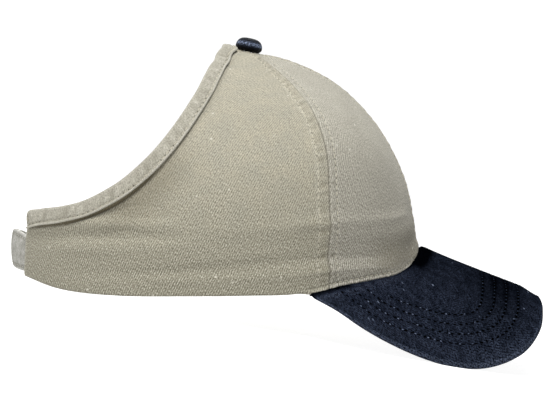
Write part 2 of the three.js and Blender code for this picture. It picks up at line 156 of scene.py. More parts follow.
# share of the reach and of the height at each angle, at even steps from the rim to the button
PROFILE = np.array([
    [0.982, 0.000, 1.000, 0.000, 1.000, 0.000, 1.000, 0.000, 1.000, 0.000],
    [0.960, 0.173, 0.993, 0.184, 1.000, 0.184, 0.997, 0.185, 0.995, 0.180],
    [0.917, 0.345, 0.997, 0.368, 0.992, 0.368, 0.975, 0.370, 0.970, 0.360],
    [0.841, 0.509, 0.963, 0.551, 0.957, 0.545, 0.910, 0.550, 0.910, 0.530],
    [0.729, 0.661, 0.825, 0.706, 0.862, 0.700, 0.800, 0.710, 0.800, 0.690],
    [0.582, 0.793, 0.622, 0.815, 0.700, 0.830, 0.645, 0.840, 0.630, 0.840],
    [0.400, 0.895, 0.389, 0.900, 0.490, 0.925, 0.445, 0.945, 0.430, 0.970],
    [0.196, 0.972, 0.146, 0.970, 0.250, 0.980, 0.220, 1.020, 0.210, 1.035],
    [0.000, 1.000, 0.000, 1.000, 0.000, 1.000, 0.000, 1.000, 0.000, 1.000],
])
STEPS = np.linspace(0, 1, len(PROFILE))
# folds round the crown: height, half width, push outwards, and the angles where each shows
FOLDS = [
    (29.5, 6.0, 0.9, 6, 62),
    (19.0, 5.0, -0.7, 6, 66),
    (9.5, 4.0, 0.6, 12, 60),
    (9.3, 2.5, -0.5, 66, 108),
    (31.0, 3.5, 0.6, 106, 132),
    (26.0, 3.0, -0.6, 112, 140),
    (19.5, 4.0, 0.6, 100, 138),
]
FOLD_FADE = 10
print("steps up the crown:", len(STEPS), "folds:", len(FOLDS))

# %% Points of the crown
def reach_and_height(angle, rise):
    across = smooth_weights(PROFILE_ANGLE, angle, flat_ends=True)
    up = smooth_weights(STEPS, rise)
    return [np.einsum("ij,ik,jk->i", up, across, PROFILE[:, k::2]) for k in (0, 1)]


def crown(angle, rise):
    """Points of the crown's outer face on the wearer's left. Angle 0 is the front and 180 the back."""
    angle, rise = np.broadcast_arrays(np.asarray(angle, float), np.asarray(rise, float))
    shape = angle.shape
    angle, rise = angle.ravel(), rise.ravel()
    reach, height = reach_and_height(angle, rise)
    c, s = np.cos(np.radians(angle)), np.sin(np.radians(angle))
    along = np.where(c > 0, RIM_FRONT, RIM_BACK)
    base = smooth_curve(RIM_ANGLE, RIM_HEIGHT, angle, flat_ends=True)
    z = base + (TOP_HEIGHT - base) * height
    point = np.stack([TOP_FORWARD + (along * c - TOP_FORWARD) * reach, RIM_HALF * s * reach, z], -1)
    push = np.zeros_like(z)
    for level, spread, amount, start, end in FOLDS:
        push += amount * between(angle, start, end, FOLD_FADE) * bump(z, level, spread)
    outward = unit(np.stack([c / along, s / RIM_HALF, 0 * s], -1))
    return (point + push[:, None] * outward).reshape(*shape, 3)


print("button seat at", crown(0, 1).round(1), "side of the rim at", crown(90, 0).round(1))

# %% Moving about on the crown
def crown_slopes(angle, rise):
    """Change of the face with angle and with rise."""
    up = np.minimum(rise + 0.001, 1)
    by_angle = (crown(angle + 0.2, rise) - crown(angle - 0.2, rise)) / 0.4
    by_rise = (crown(angle, up) - crown(angle, rise - 0.001)) / (up - rise + 0.001)[..., None]
    return by_angle, by_rise


def crown_normal(angle, rise):
    return unit(np.cross(*crown_slopes(np.asarray(angle, float), np.asarray(rise, float))))


def walk(places, heading, distance, steps=4):
    """Moves places (angle, rise) a distance over the face, as straight as the face allows."""
    angle, rise = np.array(places, float).T
    heading = unit(np.array(heading, float))
    distance = np.broadcast_to(np.asarray(distance, float), angle.shape)
    for _ in range(steps):
        a, r = crown_slopes(angle, rise)
        aa, ar, rr = (a * a).sum(-1), (a * r).sum(-1), (r * r).sum(-1)
        ah, rh = (a * heading).sum(-1), (r * heading).sum(-1)
        scale = distance / steps / (aa * rr - ar * ar)
        angle = angle + (ah * rr - rh * ar) * scale
        rise = rise + (rh * aa - ah * ar) * scale
        normal = crown_normal(angle, rise)
        heading = unit(heading - (heading * normal).sum(-1, keepdims=True) * normal)
    return np.stack([angle, rise], -1)


def even_places(curve, shares):
    """Places on a curve of (angle, rise), at shares of its length in millimetres."""
    fine = np.linspace(0, 1, 3001)
    length = run_along(crown(*curve(fine).T))
    return np.interp(np.asarray(shares) * length[-1], length, fine)


print("the cloth's direction at the side of the rim:", crown_normal(90, 0.0).round(2))

# %% [markdown]
# ## Colours and nodes
# Colours are written as they look on screen, as hex, and one function turns them into the linear
# numbers that Blender's shaders use. One more adds a node, sets its inputs and links them.

# %% Colour and node helpers
def colour(hex_code):
    channels = [int(hex_code[i : i + 2], 16) / 255 for i in (1, 3, 5)]
    linear = [c / 12.92 if c <= 0.04045 else ((c + 0.055) / 1.055) ** 2.4 for c in channels]
    return (*linear, 1.0)


def add_node(tree, kind, settings=None, inputs=()):
    """Adds a node and gives back its outputs. Each input is a value, or an output to link from."""
    node = tree.nodes.new(kind)
    for name, value in (settings or {}).items():
        setattr(node, name, value)
    for key, value in inputs.items() if isinstance(inputs, dict) else enumerate(inputs):
        if isinstance(value, bpy.types.NodeSocket):
            tree.links.new(value, node.inputs[key])
        else:
            node.inputs[key].default_value = value
    return node.outputs


def blank_material(name):
    material = bpy.data.materials.new(name)
    material.use_nodes = True
    material.node_tree.nodes.clear()
    return material, material.node_tree


# settings that several nodes share
BLEND, EASED = {"data_type": "RGBA"}, {"interpolation_type": "SMOOTHSTEP"}
TIMES, TIMES_PLUS = {"operation": "MULTIPLY", "use_clamp": True}, {"operation": "MULTIPLY_ADD"}
print("khaki in linear numbers:", [round(c, 2) for c in colour("#a09d8f")])

# %% [markdown]
# ## Cotton twill
# Twill is woven so that each warp thread floats over two or three weft threads and steps one along
# each time. What the eye sees is a fine diagonal rib. A photograph of cloth could be wrapped round,
# but a pattern from a few nodes stays sharp at any distance. Every piece carries a UV map in
# millimetres, so the rib has the same size on all of them. The real rib is about 0.5 mm wide; it is
# drawn at 1.05 mm, the finest that still shows at this picture's size.

# %% Twill threads
TWILL_RIB = 1.05
TWILL_LEAN = 63.0


def weave(tree, uv, ribs):
    """Unevenness of the yarn, and height of the threads: diagonal ribs made up of uneven floats."""
    lean = add_node(tree, "ShaderNodeMapping", {"vector_type": "POINT"}, {
        "Vector": uv, "Rotation": (0, 0, math.radians(90 - TWILL_LEAN))})[0]
    # the wave node repeats every 2 pi / 20 of its coordinate
    rib = add_node(tree, "ShaderNodeTexWave", {"wave_type": "BANDS", "bands_direction": "X"}, {
        "Vector": lean, "Scale": math.tau / 20 / TWILL_RIB, "Distortion": 1.5, "Detail": 2.0,
        "Detail Scale": 1.6, "Detail Roughness": 0.6})[1]
    # each thread's float is longer along the rib than across it
    floats = add_node(tree, "ShaderNodeMapping", {"vector_type": "POINT"}, {
        "Vector": lean, "Scale": (1.0, 0.6, 1.0)})[0]
    yarn = add_node(tree, "ShaderNodeTexNoise", {}, {
        "Vector": floats, "Scale": 1.8, "Detail": 2.0, "Roughness": 0.7})[0]
    ribbing = add_node(tree, "ShaderNodeMath", {"operation": "MULTIPLY"}, (rib, ribs))[0]
    return yarn, add_node(tree, "ShaderNodeMath", TIMES_PLUS, (yarn, 1.5, ribbing))[0]


print("twill rib in mm:", TWILL_RIB)

# %% [markdown]
# Washing fades cotton where it stands up and is rubbed. Each piece carries a value worked out from
# its own relief that holds this fading and painted light together: above 0 the cloth is paler, for
# fading and for painted highlights, and below 0 it is darker, for painted shade and shadow in hollows,
# grooves, corners and under edges. Soft patches, pale flecks of raised fibre and, near the rim, coarser
# threads are added, each from a noise or a gradient in millimetres, and towards the rim the tone turns
# greyer and darker, as painted shade.

# %% Twill material
def twill(name, base, light, dark, fleck, faded_and_lit, shaded, painted_rim_shade=None, ribs=0.24, worn_size=10.0,
          rough=0.9, sheen=0.05, specular=0.08, rib_show=0.5, mottle=0.3, fleck_show=0.4,
          yarn_range=(0.5, 1.12)):
    """Twill from the tones of its ground, patches, gaps, flecks, fading with painted highlight, painted
    shade.
    """
    material, tree = blank_material(name)
    uv = add_node(tree, "ShaderNodeUVMap", {"uv_map": "cloth"})[0]
    yarn, threads = weave(tree, uv, ribs)
    worn = add_node(tree, "ShaderNodeTexNoise", {}, {
        "Vector": uv, "Scale": 1 / worn_size, "Detail": 5.0, "Roughness": 0.65})[0]
    slub = add_node(tree, "ShaderNodeTexVoronoi", {"feature": "F1"}, {
        "Vector": uv, "Scale": 0.13, "Randomness": 1.0})["Distance"]
    # Map Range takes a value, the range that it comes from and the range that it goes to
    ranges = [(slub, 0.02, 0.09, fleck_show, 0.0), (threads, *yarn_range, rib_show, 0.0),
              (worn, 0.38, 0.68, 0.0, mottle)]
    spot, dip, patches = [add_node(tree, "ShaderNodeMapRange", {}, values)[0] for values in ranges]
    wear_and_painted_light = add_node(tree, "ShaderNodeAttribute", {"attribute_name": "wear_and_painted_light"})["Fac"]
    patchy = add_node(tree, "ShaderNodeMath", TIMES_PLUS, (yarn, 1.2, 0.4))[0]
    # above 0 the value turns the cloth towards its faded tone, for fading and painted highlight, and below
    # 0 towards its shaded tone, for painted shade
    rubbed_and_lit = add_node(tree, "ShaderNodeMath", TIMES, (wear_and_painted_light, patchy))[0]
    kept = add_node(tree, "ShaderNodeMath", TIMES, (wear_and_painted_light, -1.0))[0]
    layers = [(patches, light)]
    if painted_rim_shade:
        height = add_node(tree, "ShaderNodeSeparateXYZ", {}, (uv,))[1]
        low = add_node(tree, "ShaderNodeMapRange", EASED, (height, 0.0, 75.0, 1.0, 0.0))[0]
        # near the rim, washing has raised the threads, so both their gaps and their tops show more
        coarse = add_node(tree, "ShaderNodeMath", TIMES_PLUS, (low, 0.35, 1.0))[0]
        dip = add_node(tree, "ShaderNodeMath", TIMES, (dip, coarse))[0]
        tops = add_node(tree, "ShaderNodeMapRange", {}, (threads, 0.98, 1.5, 0.0, 0.9))[0]
        raised = add_node(tree, "ShaderNodeMath", TIMES, (tops, low))[0]
        # towards the rim the ground turns to a greyer, darker tone, which is painted shade
        layers += [(low, painted_rim_shade), (raised, fleck)]
    ground = colour(base)
    for share, tone in layers + [(rubbed_and_lit, faded_and_lit), (kept, shaded), (dip, dark), (spot, fleck)]:
        ground = add_node(tree, "ShaderNodeMix", BLEND, {0: share, 6: ground, 7: colour(tone)})[2]
    relief = add_node(tree, "ShaderNodeBump", {}, {
        "Height": threads, "Strength": 0.5, "Distance": 0.0002})[0]
    shader = add_node(tree, "ShaderNodeBsdfPrincipled", {}, {
        "Base Color": ground, "Roughness": rough, "Specular IOR Level": specular,
        "Sheen Weight": sheen, "Sheen Roughness": 0.5, "Normal": relief})[0]
    add_node(tree, "ShaderNodeOutputMaterial", {}, (shader,))
    return material


# %% The cap's cloths
# side gores: cotton twill, woven, dyed in the piece and washed once the cap is sewn
khaki = twill("washed khaki cotton twill", "#a09d8f", "#aea895", "#4a4538", "#cbc8bc", "#cfccbf",
              "#6b6452", painted_rim_shade="#949182", rib_show=0.8, mottle=0.7, fleck_show=0.6)
# front gores: the same cloth, painted a little greyer and cooler for the cooler light on the front
front_khaki_painted_cool = twill("washed khaki twill of the front gores", "#a29f94", "#afaca0", "#4a4639",
                    "#cbc9be", "#cfccc0", "#6b6555", painted_rim_shade="#99968c", rib_show=0.8, mottle=0.7,
                    fleck_show=0.6)
# binding: the same cloth cut slanting to its threads and folded, so that its rib hardly shows
bias_khaki = twill("khaki twill cut on the bias", "#9a978b", "#b2afa3", "#4a4538", "#cbc8bc",
                   "#d0cec4", "#605c50", ribs=0.08, rib_show=0.65, mottle=0.8)
# straps: a band folded double and handled most, so that its long edges are rubbed pale
strap_khaki = twill("khaki strap twill", "#8e8d86", "#b4b3ad", "#57554d", "#c9c7bd", "#d3d2cc",
                    "#66645b", worn_size=5.0, rib_show=0.8, mottle=1.0)
# peak: dyed dark before sewing; a gloss or a sheen would show as a pale film on cloth this dark
navy = twill("washed navy cotton twill", "#1a1f2a", "#333a4a", "#000000", "#6a7388", "#525a6c",
             "#020306", ribs=0.12, worn_size=4.0, mottle=0.8, rib_show=1.0, fleck_show=0.8, sheen=0.0,
             specular=0.0, yarn_range=(0.62, 1.0))
# button: the peak's cloth drawn tight over a pressed metal shell; its shine is a painted highlight
button_navy = twill("navy twill over a metal button", "#11151e", "#272e3c", "#010102", "#6b7488",
                    "#8390ab", "#010203", mottle=0.6, ribs=0.1, rib_show=1.0, fleck_show=0.0,
                    rough=0.6, specular=0.04, yarn_range=(0.66, 1.0))
print("materials with the cloths:", len(bpy.data.materials))

# %% [markdown]
# ## Thread
# Sewing thread is spun polyester wrapped in cotton, a little lighter than the cloth round it. The
# needle leaves a small hole at both ends of each stitch, and a small dark body set in it is its painted
# shade. Near the rim the khaki thread turns darker, as painted shade. On the peak some stitches are
# paler, fewer towards its front.

# %% Thread materials
def thread(name, base, light, painted_rim_shade=None, bright=None, specular=0.1):
    """Twisted thread of two tones, a darker third near the rim as painted shade, or a bright one in
    patches.
    """
    material, tree = blank_material(name)
    place = add_node(tree, "ShaderNodeTexCoord")["Object"]
    forward, _, height = add_node(tree, "ShaderNodeSeparateXYZ", {}, (place,))
    ply = add_node(tree, "ShaderNodeTexNoise", {}, {
        "Vector": place, "Scale": 2500.0, "Detail": 1.0})[0]
    layers = [(ply, light)]
    if painted_rim_shade:
        # towards the rim the thread turns darker: painted shade
        low = add_node(tree, "ShaderNodeMapRange", EASED, (height, 0.01, 0.085, 1.0, 0.0))[0]
        layers.append((low, painted_rim_shade))
    if bright:
        # here and there a stitch is paler, and less often towards the peak's front
        patch = add_node(tree, "ShaderNodeTexNoise", {}, {
            "Vector": place, "Scale": 260.0, "Detail": 0.0})[0]
        most = add_node(tree, "ShaderNodeMapRange", EASED, (forward, 0.08, 0.105, 1.0, 0.15))[0]
        pale_stitch = add_node(tree, "ShaderNodeMapRange", {}, (patch, 0.50, 0.66, 0.0, most))[0]
        layers.append((pale_stitch, bright))
    tone = colour(base)
    for share, added in layers:
        tone = add_node(tree, "ShaderNodeMix", BLEND, {0: share, 6: tone, 7: colour(added)})[2]
    shader = add_node(tree, "ShaderNodeBsdfPrincipled", {}, {
        "Base Color": tone, "Roughness": 0.8, "Specular IOR Level": specular})[0]
    add_node(tree, "ShaderNodeOutputMaterial", {}, (shader,))
    return material


# three plies twisted and dyed to match each cloth; a hole's dark body is painted shade, the same fibre as
# in deep shade
khaki_thread = thread("khaki sewing thread", "#979384", "#bab5a4", painted_rim_shade="#8f8b7d")
navy_thread = thread("navy sewing thread", "#131824", "#262d3a", bright="#687187", specular=0.0)
strap_thread = thread("pale strap thread", "#8f8d84", "#a9a79d")
needle_hole_shadow = thread("needle hole shadow", "#3a362c", "#4e493d")
navy_hole_shadow = thread("needle hole shadow in navy cloth", "#000000", "#010101", specular=0.0)
print("materials with the threads:", len(bpy.data.materials))

# %% [markdown]
# ## From grids to cloth
# Each cloth piece is a grid of points on its outer face with a second grid behind it, closed round
# the border. Solidify could give the thickness, but the cap's rim is turned up inside, so the wall is
# thicker there, and a second grid says that directly.

# %% Mesh helper
def new_piece(name, points, faces, material, uv, wear_and_painted_light):
    mesh = bpy.data.meshes.new(name)
    mesh.from_pydata(at_rest(points).tolist(), [], faces)
    turned = bmesh.new()
    turned.from_mesh(mesh)
    bmesh.ops.recalc_face_normals(turned, faces=turned.faces[:])
    turned.to_mesh(mesh)
    turned.free()
    mesh.materials.append(material)
    layer = mesh.uv_layers.new(name="cloth")
    corner = np.empty(len(mesh.loops), int)
    mesh.loops.foreach_get("vertex_index", corner)
    layer.data.foreach_set("uv", np.asarray(uv, float)[corner].ravel())
    # a value per point for fading and for painted highlight and shade
    mesh.attributes.new("wear_and_painted_light", "FLOAT", "POINT").data.foreach_set("value", np.asarray(wear_and_painted_light, float))
    mesh.polygons.foreach_set("use_smooth", np.ones(len(mesh.polygons), bool))
    mesh.set_sharp_from_angle(angle=math.radians(60))
    mesh.validate()
    piece = bpy.data.objects.new(name, mesh)
    scene.collection.objects.link(piece)
    print(name, "faces:", len(mesh.polygons))
    return piece


def attach(piece, node_name=None):
    """Hides the solid that a piece stands for, if one is named, and puts the piece on the root body."""
    if node_name:
        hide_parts(node_name)
    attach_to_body(piece, "root")


# %% Walls and lofts
def wall_piece(name, outer, inner, uv, wear_and_painted_light, material):
    """A closed wall from two grids of rows and columns of points."""
    rows, columns = outer.shape[:2]
    index = np.arange(rows * columns).reshape(rows, columns)
    quads = np.stack([index[:-1, :-1], index[:-1, 1:], index[1:, 1:], index[1:, :-1]], -1).reshape(-1, 4)
    behind = quads[:, ::-1] + rows * columns
    border = np.concatenate([index[0, :-1], index[:-1, -1], index[-1, :0:-1], index[:0:-1, 0]])
    after = np.roll(border, -1)
    sides = np.stack([after, border, border + rows * columns, after + rows * columns], -1)
    faces = np.concatenate([quads, behind, sides])
    points = np.concatenate([outer.reshape(-1, 3), inner.reshape(-1, 3)])
    worn = np.broadcast_to(wear_and_painted_light, outer.shape[:2]).ravel()
    return new_piece(name, points, faces.tolist(), material, np.tile(uv.reshape(-1, 2), (2, 1)),
                     np.tile(worn, 2))


def lofted_piece(name, sections, uv, wear_and_painted_light, material):
    """A closed body through sections of the same number of points, with both ends filled."""
    count, around = sections.shape[:2]
    index = np.arange(count * around).reshape(count, around)
    ahead = np.roll(index, -1, axis=1)
    faces = np.stack([index[:-1], ahead[:-1], ahead[1:], index[1:]], -1).reshape(-1, 4)[:, ::-1].tolist()
    faces += [index[0].tolist(), index[-1][::-1].tolist()]
    worn = np.broadcast_to(wear_and_painted_light, (count, around)).ravel()
    return new_piece(name, sections.reshape(-1, 3), faces, material, uv.reshape(-1, 2), worn)


def mirrored(points):
    return points * np.array([1, -1, 1])


def along_rows(grid):
    """Distance along each row of a grid, from its first column."""
    step = size_of(np.diff(grid, axis=1))
    return np.concatenate([np.zeros((len(grid), 1)), np.cumsum(step, axis=1)], 1)


# %% [markdown]
# ## What sewing does to cloth
# Where two gores are sewn, both edges turn in and leave a fine groove. The turned allowance lies flat
# behind each side and is stitched down, so a band beside the groove stands a little higher, ends in
# the dimpled line of the topstitch, and puckers between the two lines. All of this is a push along
# the face's normal, worked out from the distance to the seam.

# %% Seam relief
SEAM_STITCH, FRONT_STITCH, STITCH_PITCH = 5.6, 3.9, 2.9
GROOVE_DEEP, BAND_HIGH, DIMPLE_DEEP = 0.65, 0.26, 0.20


def waver(s, seed=0.0):
    """An uneven wave between about -1 and 1, 4 to 10 mm long, with no visible repeat."""
    return (0.5 * np.sin(s / 0.65 + 1.1 + seed) + 0.4 * np.sin(s / 0.87 + 2.3 * seed)
            + 0.3 * np.sin(s / 1.65 + 0.7 + 3.1 * seed))


def per_stitch(along):
    return np.cos(math.tau * along / STITCH_PITCH)


def seam_push(distance, along, stitch_at, seed=0.0, pucker=0.16):
    """Push in millimetres at a distance from a seam and a place along it."""
    groove = -GROOVE_DEEP * (1 - 0.45 * smoothstep(along, 65, 100)) * bump(distance, 0, 0.5)
    band = BAND_HIGH * falls(distance, stitch_at - 0.3, stitch_at + 1.0)
    dimple = -DIMPLE_DEEP * bump(distance, stitch_at, 0.6) * (1 + 0.35 * per_stitch(along))
    near = bump(distance, 0.6 * stitch_at, 0.75 * stitch_at)
    return groove + band + dimple + pucker * near * waver(along, seed)


def seam_wear_and_shade(distance, along, stitch_at, seed=0.0):
    """The turned edges fade where they stand up; the puckers between and the groove get painted shade."""
    edges = 0.16 * bump(distance, stitch_at + 0.5, 0.8) + 0.14 * bump(distance, 0.9, 0.5)
    worn = edges * (1 + 0.6 * waver(along, seed + 1.3))
    near = bump(distance, 0.55 * stitch_at, 0.4 * stitch_at)
    # painted shade in the puckers' hollows and in the seam's groove
    return worn - 0.20 * near * (0.35 - waver(along, seed)) - 0.4 * bump(distance, 0, 0.4)


print("push in the seam's groove, mm:", round(float(seam_push(0.0, 20.0, SEAM_STITCH)), 2))

# %% [markdown]
# ## The rim and its creases
# The lower edge is turned up inside. Over the peak it rolls into a lip that hangs and catches the
# light, which is painted on it as a highlight over its fading, and the cloth above the lip's middle gets
# painted shade. A cap that is washed and worn also creases where it flexes. These creases don't repeat,
# so a table says where each runs.

# %% Rim relief
LIP_ENDS = 57, 63


def rim_push(up, angle):
    """Rolled lip of the crown where the peak is sewn on, and the plain turned edge further back."""
    uneven = 1 + 0.35 * waver(angle * 1.6, 0.8)
    valley = 0.34 * (0.4 + 0.6 * smoothstep(angle, 24, 40))
    lip = 0.30 * bump(up, 0.6, 0.5) - valley * bump(up, 1.7, 0.5)
    return falls(angle, *LIP_ENDS) * lip * uneven - 0.45 * bump(up, 0, 0.6)


def rim_wear_and_light(up, angle):
    """The lip over the peak fades and gets a painted highlight; the cloth just above its middle gets
    painted shade.
    """
    # the lip fades, and a painted highlight adds to it, most beside the centre front
    lip = (0.28 + 0.12 * waver(angle * 1.6, 0.8)) * bump(up, 0.7, 0.7)
    lip = lip + 0.32 * bump(angle, 20, 13) * bump(up, 0.9, 1.2)
    # painted shade above the lip's middle, where the peak blocks the light from below
    shade_above_lip = 0.40 * falls(angle, 28, 42) * smoothstep(up, 1.5, 4) * falls(up, 10, 24)
    return falls(angle, *LIP_ENDS) * lip - shade_above_lip


print("lip's push, mm:", round(float(rim_push(0.6, 30.0)), 2))

# %% Creases
# angle and height where each starts, angle and height where it ends, half width, push outwards
CREASES = [
    (14, 35.5, 62, 31.0, 2.3, 0.90),
    (-9, 19.0, 24, 19.0, 5.0, 0.55),
    (-9, 9.5, 24, 9.5, 4.0, -0.50),
    (4, 14.5, 15, 12.5, 3.0, 0.60),
    (33, 16.6, 57, 14.8, 2.0, -1.00),
    (33, 11.8, 56, 9.6, 1.7, 0.70),
    (58, 31.0, 84, 28.5, 4.0, 0.80),
    (57, 15.0, 94, 11.6, 2.7, -1.05),
    (57, 8.2, 100, 6.8, 2.6, 0.75),
    (95, 35.8, 114, 37.8, 3.0, -1.10),
    (96, 30.6, 124, 32.8, 2.8, 1.05),
    (94, 25.6, 128, 27.0, 2.6, -0.85),
    (90, 21.3, 134, 21.8, 3.2, 0.60),
    (96, 9.0, 124, 9.5, 2.6, -0.45),
]
CREASE_FADE = 6


def slack_push(angle, rise):
    """The creases, and the shallow unevenness of cloth that nothing holds stiff."""
    a, w = np.radians(angle), rise * 6.0
    slack = np.sin(5 * a + 1.7 * w) + np.sin(3.1 * a - 2.9 * w + 1)
    push = 0.14 * (slack + 0.7 * np.sin(9.3 * a + 4.1 * w + 2))
    height = crown(angle, rise)[..., 2]
    for start, start_height, end, end_height, spread, amount in CREASES:
        level = np.interp(angle, [start, end], [start_height, end_height]) + 0.5 * np.sin(7 * a + start)
        shows = between(angle, start, end, CREASE_FADE) * (0.85 + 0.15 * np.sin(11 * a + 2 * start))
        push = push + amount * shows * bump(height, level, spread)
    flatter = 0.45 * falls(angle, 10, 40) * smoothstep(rise, 0.15, 0.35)
    return push - 0.2 - flatter


print("creases:", len(CREASES))

# %% [markdown]
# ## Panels
# A panel is a grid of places on the crown's face, and its wall is that grid pushed out by its relief,
# with a second grid one cloth behind. The turned-up rim doubles the cloth. Grid lines crowd together
# at seams and edges, where the relief is finest.

# %% Places of a panel
CLOTH = 1.3
HEM_HEIGHT, HEM_EXTRA, HEM_BLEND = 12.0, 1.3, 4.0
# neighbouring gores overlap by a hair, so that no light comes through a seam
SEAM_GAP = -0.03
# a gore's tip ends just short of the top, under the button
TIP_RISE = 0.975
# the lip over the peak hangs a little, and beside the centre front it hangs and bulges most
LIP_HANG, CORNER_HANG, CORNER_BULGE = 1.1, 2.2, 1.7
# middle lines of the gores, where their cloth runs straight up
FRONT_MIDDLE, SIDE_MIDDLE = 26.0, 92.0


def crowded_ends(count, first, last):
    """Shares from 0 to 1, closer together near the ends by the given strengths."""
    t = np.linspace(0, 1, count)
    dense = 1 + first * np.exp(-t / 0.03) + last * np.exp(-(1 - t) / 0.03)
    length = np.concatenate([[0], np.cumsum((dense[1:] + dense[:-1]) / 2)])
    return np.interp(np.linspace(0, 1, count), length / length[-1], t)


def crowded_top(share):
    return share + 0.6 * share**3 * (1 - share)


print("five crowded shares:", crowded_ends(5, 3, 3).round(3))

# %% Seams and the flat cloth
def beside_seam(places, sign):
    """Moves places off a seam by half the gap between pieces."""
    per_degree = size_of(crown_slopes(places[:, 0], places[:, 1])[0])
    return places + np.stack([sign * SEAM_GAP / 2 / per_degree, 0 * per_degree], -1)


def rising_edge(angle, shares):
    """Places up the crown at one angle, at shares of its length."""
    def edge(s):
        return np.stack([np.full_like(s, angle), TIP_RISE * s], -1)
    return edge(even_places(edge, shares))


def grain(angle, rise, middle):
    """Millimetres on the flat cloth before it was sewn, measured from the gore's middle line."""
    turn, up = np.linspace(0, 180, 721), np.linspace(0, 1, 301)
    rim, climb = run_along(crown(turn, 0)), run_along(crown(middle, up))
    across = np.interp(angle, turn, rim) - np.interp(middle, turn, rim)
    reach = reach_and_height(np.ravel(angle), np.ravel(rise))[0].reshape(np.shape(angle))
    return np.stack([across * reach, np.interp(rise, up, climb)], -1)


print("length of the front seam, mm:", round(run_along(crown(FRONT_SEAM, np.linspace(0, 1, 99)))[-1]))

# %% Panel walls
def panel_wall(places, push):
    """Outer and inner grid of a panel from its places and the push of its sewing."""
    angle, rise = places[..., 0], places[..., 1]
    face, normal = crown(angle, rise), crown_normal(angle, rise)
    outer = face + push[..., None] * normal
    above = face[..., 2] - crown(angle, 0)[..., 2]
    thick = CLOTH + HEM_EXTRA * falls(above, HEM_HEIGHT, HEM_HEIGHT + HEM_BLEND)
    outward = unit(normal * np.array([1, 1, 0]))
    backing = normal.copy()
    backing[0] = outward[0]
    inner = face - thick[..., None] * backing
    corner = bump(angle, 8, 6) * falls(above, 1.0, 8.0)
    lowered = LIP_HANG * falls(angle, 58, 62) * falls(above, 0.0, 3.0) + CORNER_HANG * corner
    for grid in (outer, inner):
        grid[..., 2] -= lowered
        grid += CORNER_BULGE * corner[..., None] * outward
        grid[..., 1] = np.maximum(grid[..., 1], SEAM_GAP / 2)
    return outer, inner


def add_pair(name, outer, inner, uv, wear_and_painted_light, material):
    """The same panel for both sides. The cloth's rib isn't mirrored: both are cut face up."""
    for side, turn in (("left", 1), ("right", -1)):
        grids = [grid * np.array([1, turn, 1]) for grid in (outer, inner)]
        piece = wall_piece(f"{name}_{side}_cloth", *grids, uv * np.array([turn, 1]), wear_and_painted_light, material)
        attach(piece, f"{name}_{side}")


# %% [markdown]
# ## Front panels
# The two front gores run from the centre front to the seam at the temple. Their grid follows the
# table directly: rows go up, columns go round.

# %% Front panels
FRONT_ROWS, FRONT_COLUMNS = 190, 84
front_up = crowded_top(crowded_ends(FRONT_ROWS, 4, 0))
across = crowded_ends(FRONT_COLUMNS, 3, 3)[None, :, None]
front_places = (beside_seam(rising_edge(0.0, front_up), 1)[:, None] * (1 - across)
                + beside_seam(rising_edge(FRONT_SEAM, front_up), -1)[:, None] * across)
front_angle, front_rise = front_places[..., 0], front_places[..., 1]
front_face = crown(front_angle, front_rise)
from_centre = along_rows(front_face)
from_seam = from_centre[:, -1:] - from_centre
front_climb = along_rows(front_face.transpose(1, 0, 2)).T
front_push = (seam_push(from_seam, front_climb, FRONT_STITCH, 0.4)
              + seam_push(from_centre, front_climb, FRONT_STITCH, 1.9)
              + rim_push(front_climb, front_angle) + slack_push(front_angle, front_rise))
# fading of the seams and the lip, with their painted highlight and painted shade
front_wear_and_shade = (seam_wear_and_shade(from_seam, front_climb, FRONT_STITCH, 0.4)
              + seam_wear_and_shade(from_centre, front_climb, FRONT_STITCH, 1.9)
              + rim_wear_and_light(front_climb, front_angle))
front_outer, front_inner = panel_wall(front_places, front_push)
front_uv = grain(front_angle, front_rise, FRONT_MIDDLE)
add_pair("front_panel", front_outer, front_inner, front_uv, front_wear_and_shade, front_khaki_painted_cool)

# %% [markdown]
# ## The ponytail opening
# The opening's edge is a curve on the same face. It climbs from the back corner of each side panel,
# runs up beside the head and crosses just behind the button. The curve is fitted to the solid, and the
# cloth's own edge strays from it by about a millimetre: it draws in behind the button, where the
# binding turns, and stands out at the back corner, except for its rounded end.

# %% Opening edge
OPENING_EDGE = np.array([
    [148.4, 0.192], [139.6, 0.214], [131.7, 0.229], [122.9, 0.251], [115.0, 0.287], [109.6, 0.322],
    [104.1, 0.374], [100.1, 0.429], [97.1, 0.489], [95.1, 0.554], [94.1, 0.629], [95.6, 0.727],
    [99.2, 0.796], [116.9, 0.889], [145.0, 0.924], [180.0, 0.935],
])
PANEL_EDGE_IN = 1.8
BUTTON_TUCK, CORNER_STAND, END_ROUND = 1.1, 0.9, 1.2


def opening_curve(share):
    return smooth_weights(np.linspace(0, 1, len(OPENING_EDGE)), share) @ OPENING_EDGE


def tucked_in(share):
    """How much further in than the curve the edge lies, at shares along it from the back corner."""
    rounded_end = END_ROUND * (1 - np.clip(share / 0.011, 0, 1)) ** 2
    return BUTTON_TUCK * bump(share, 0.845, 0.05) - CORNER_STAND * bump(share, 0, 0.035) + rounded_end


def edge_frame(share):
    """Direction along the opening's edge, normal of the cloth, and the way in from the edge."""
    share = np.atleast_1d(share)
    before = crown(*opening_curve(np.maximum(share - 0.004, 0)).T)
    after = crown(*opening_curve(np.minimum(share + 0.004, 1)).T)
    along = unit(after - before)
    along[share > 0.996] = [0, -1, 0]
    normal = crown_normal(*opening_curve(share).T)
    return along, normal, unit(np.cross(normal, along))


half_edge = crown(*opening_curve(np.linspace(0, 1, 200)).T)
print("half the opening's edge, mm:", round(run_along(half_edge)[-1]))

# %% [markdown]
# ## Side panels
# Each side is one large piece, from the temple seam to the back edge and the opening, with a short
# join behind the button. Its rows fan out from the seam to meet that longer edge. Just inside the
# binding the cloth dips, and the hollow lies in shade, which is painted in as well, as is the thin
# shadow of the binding's free lip.

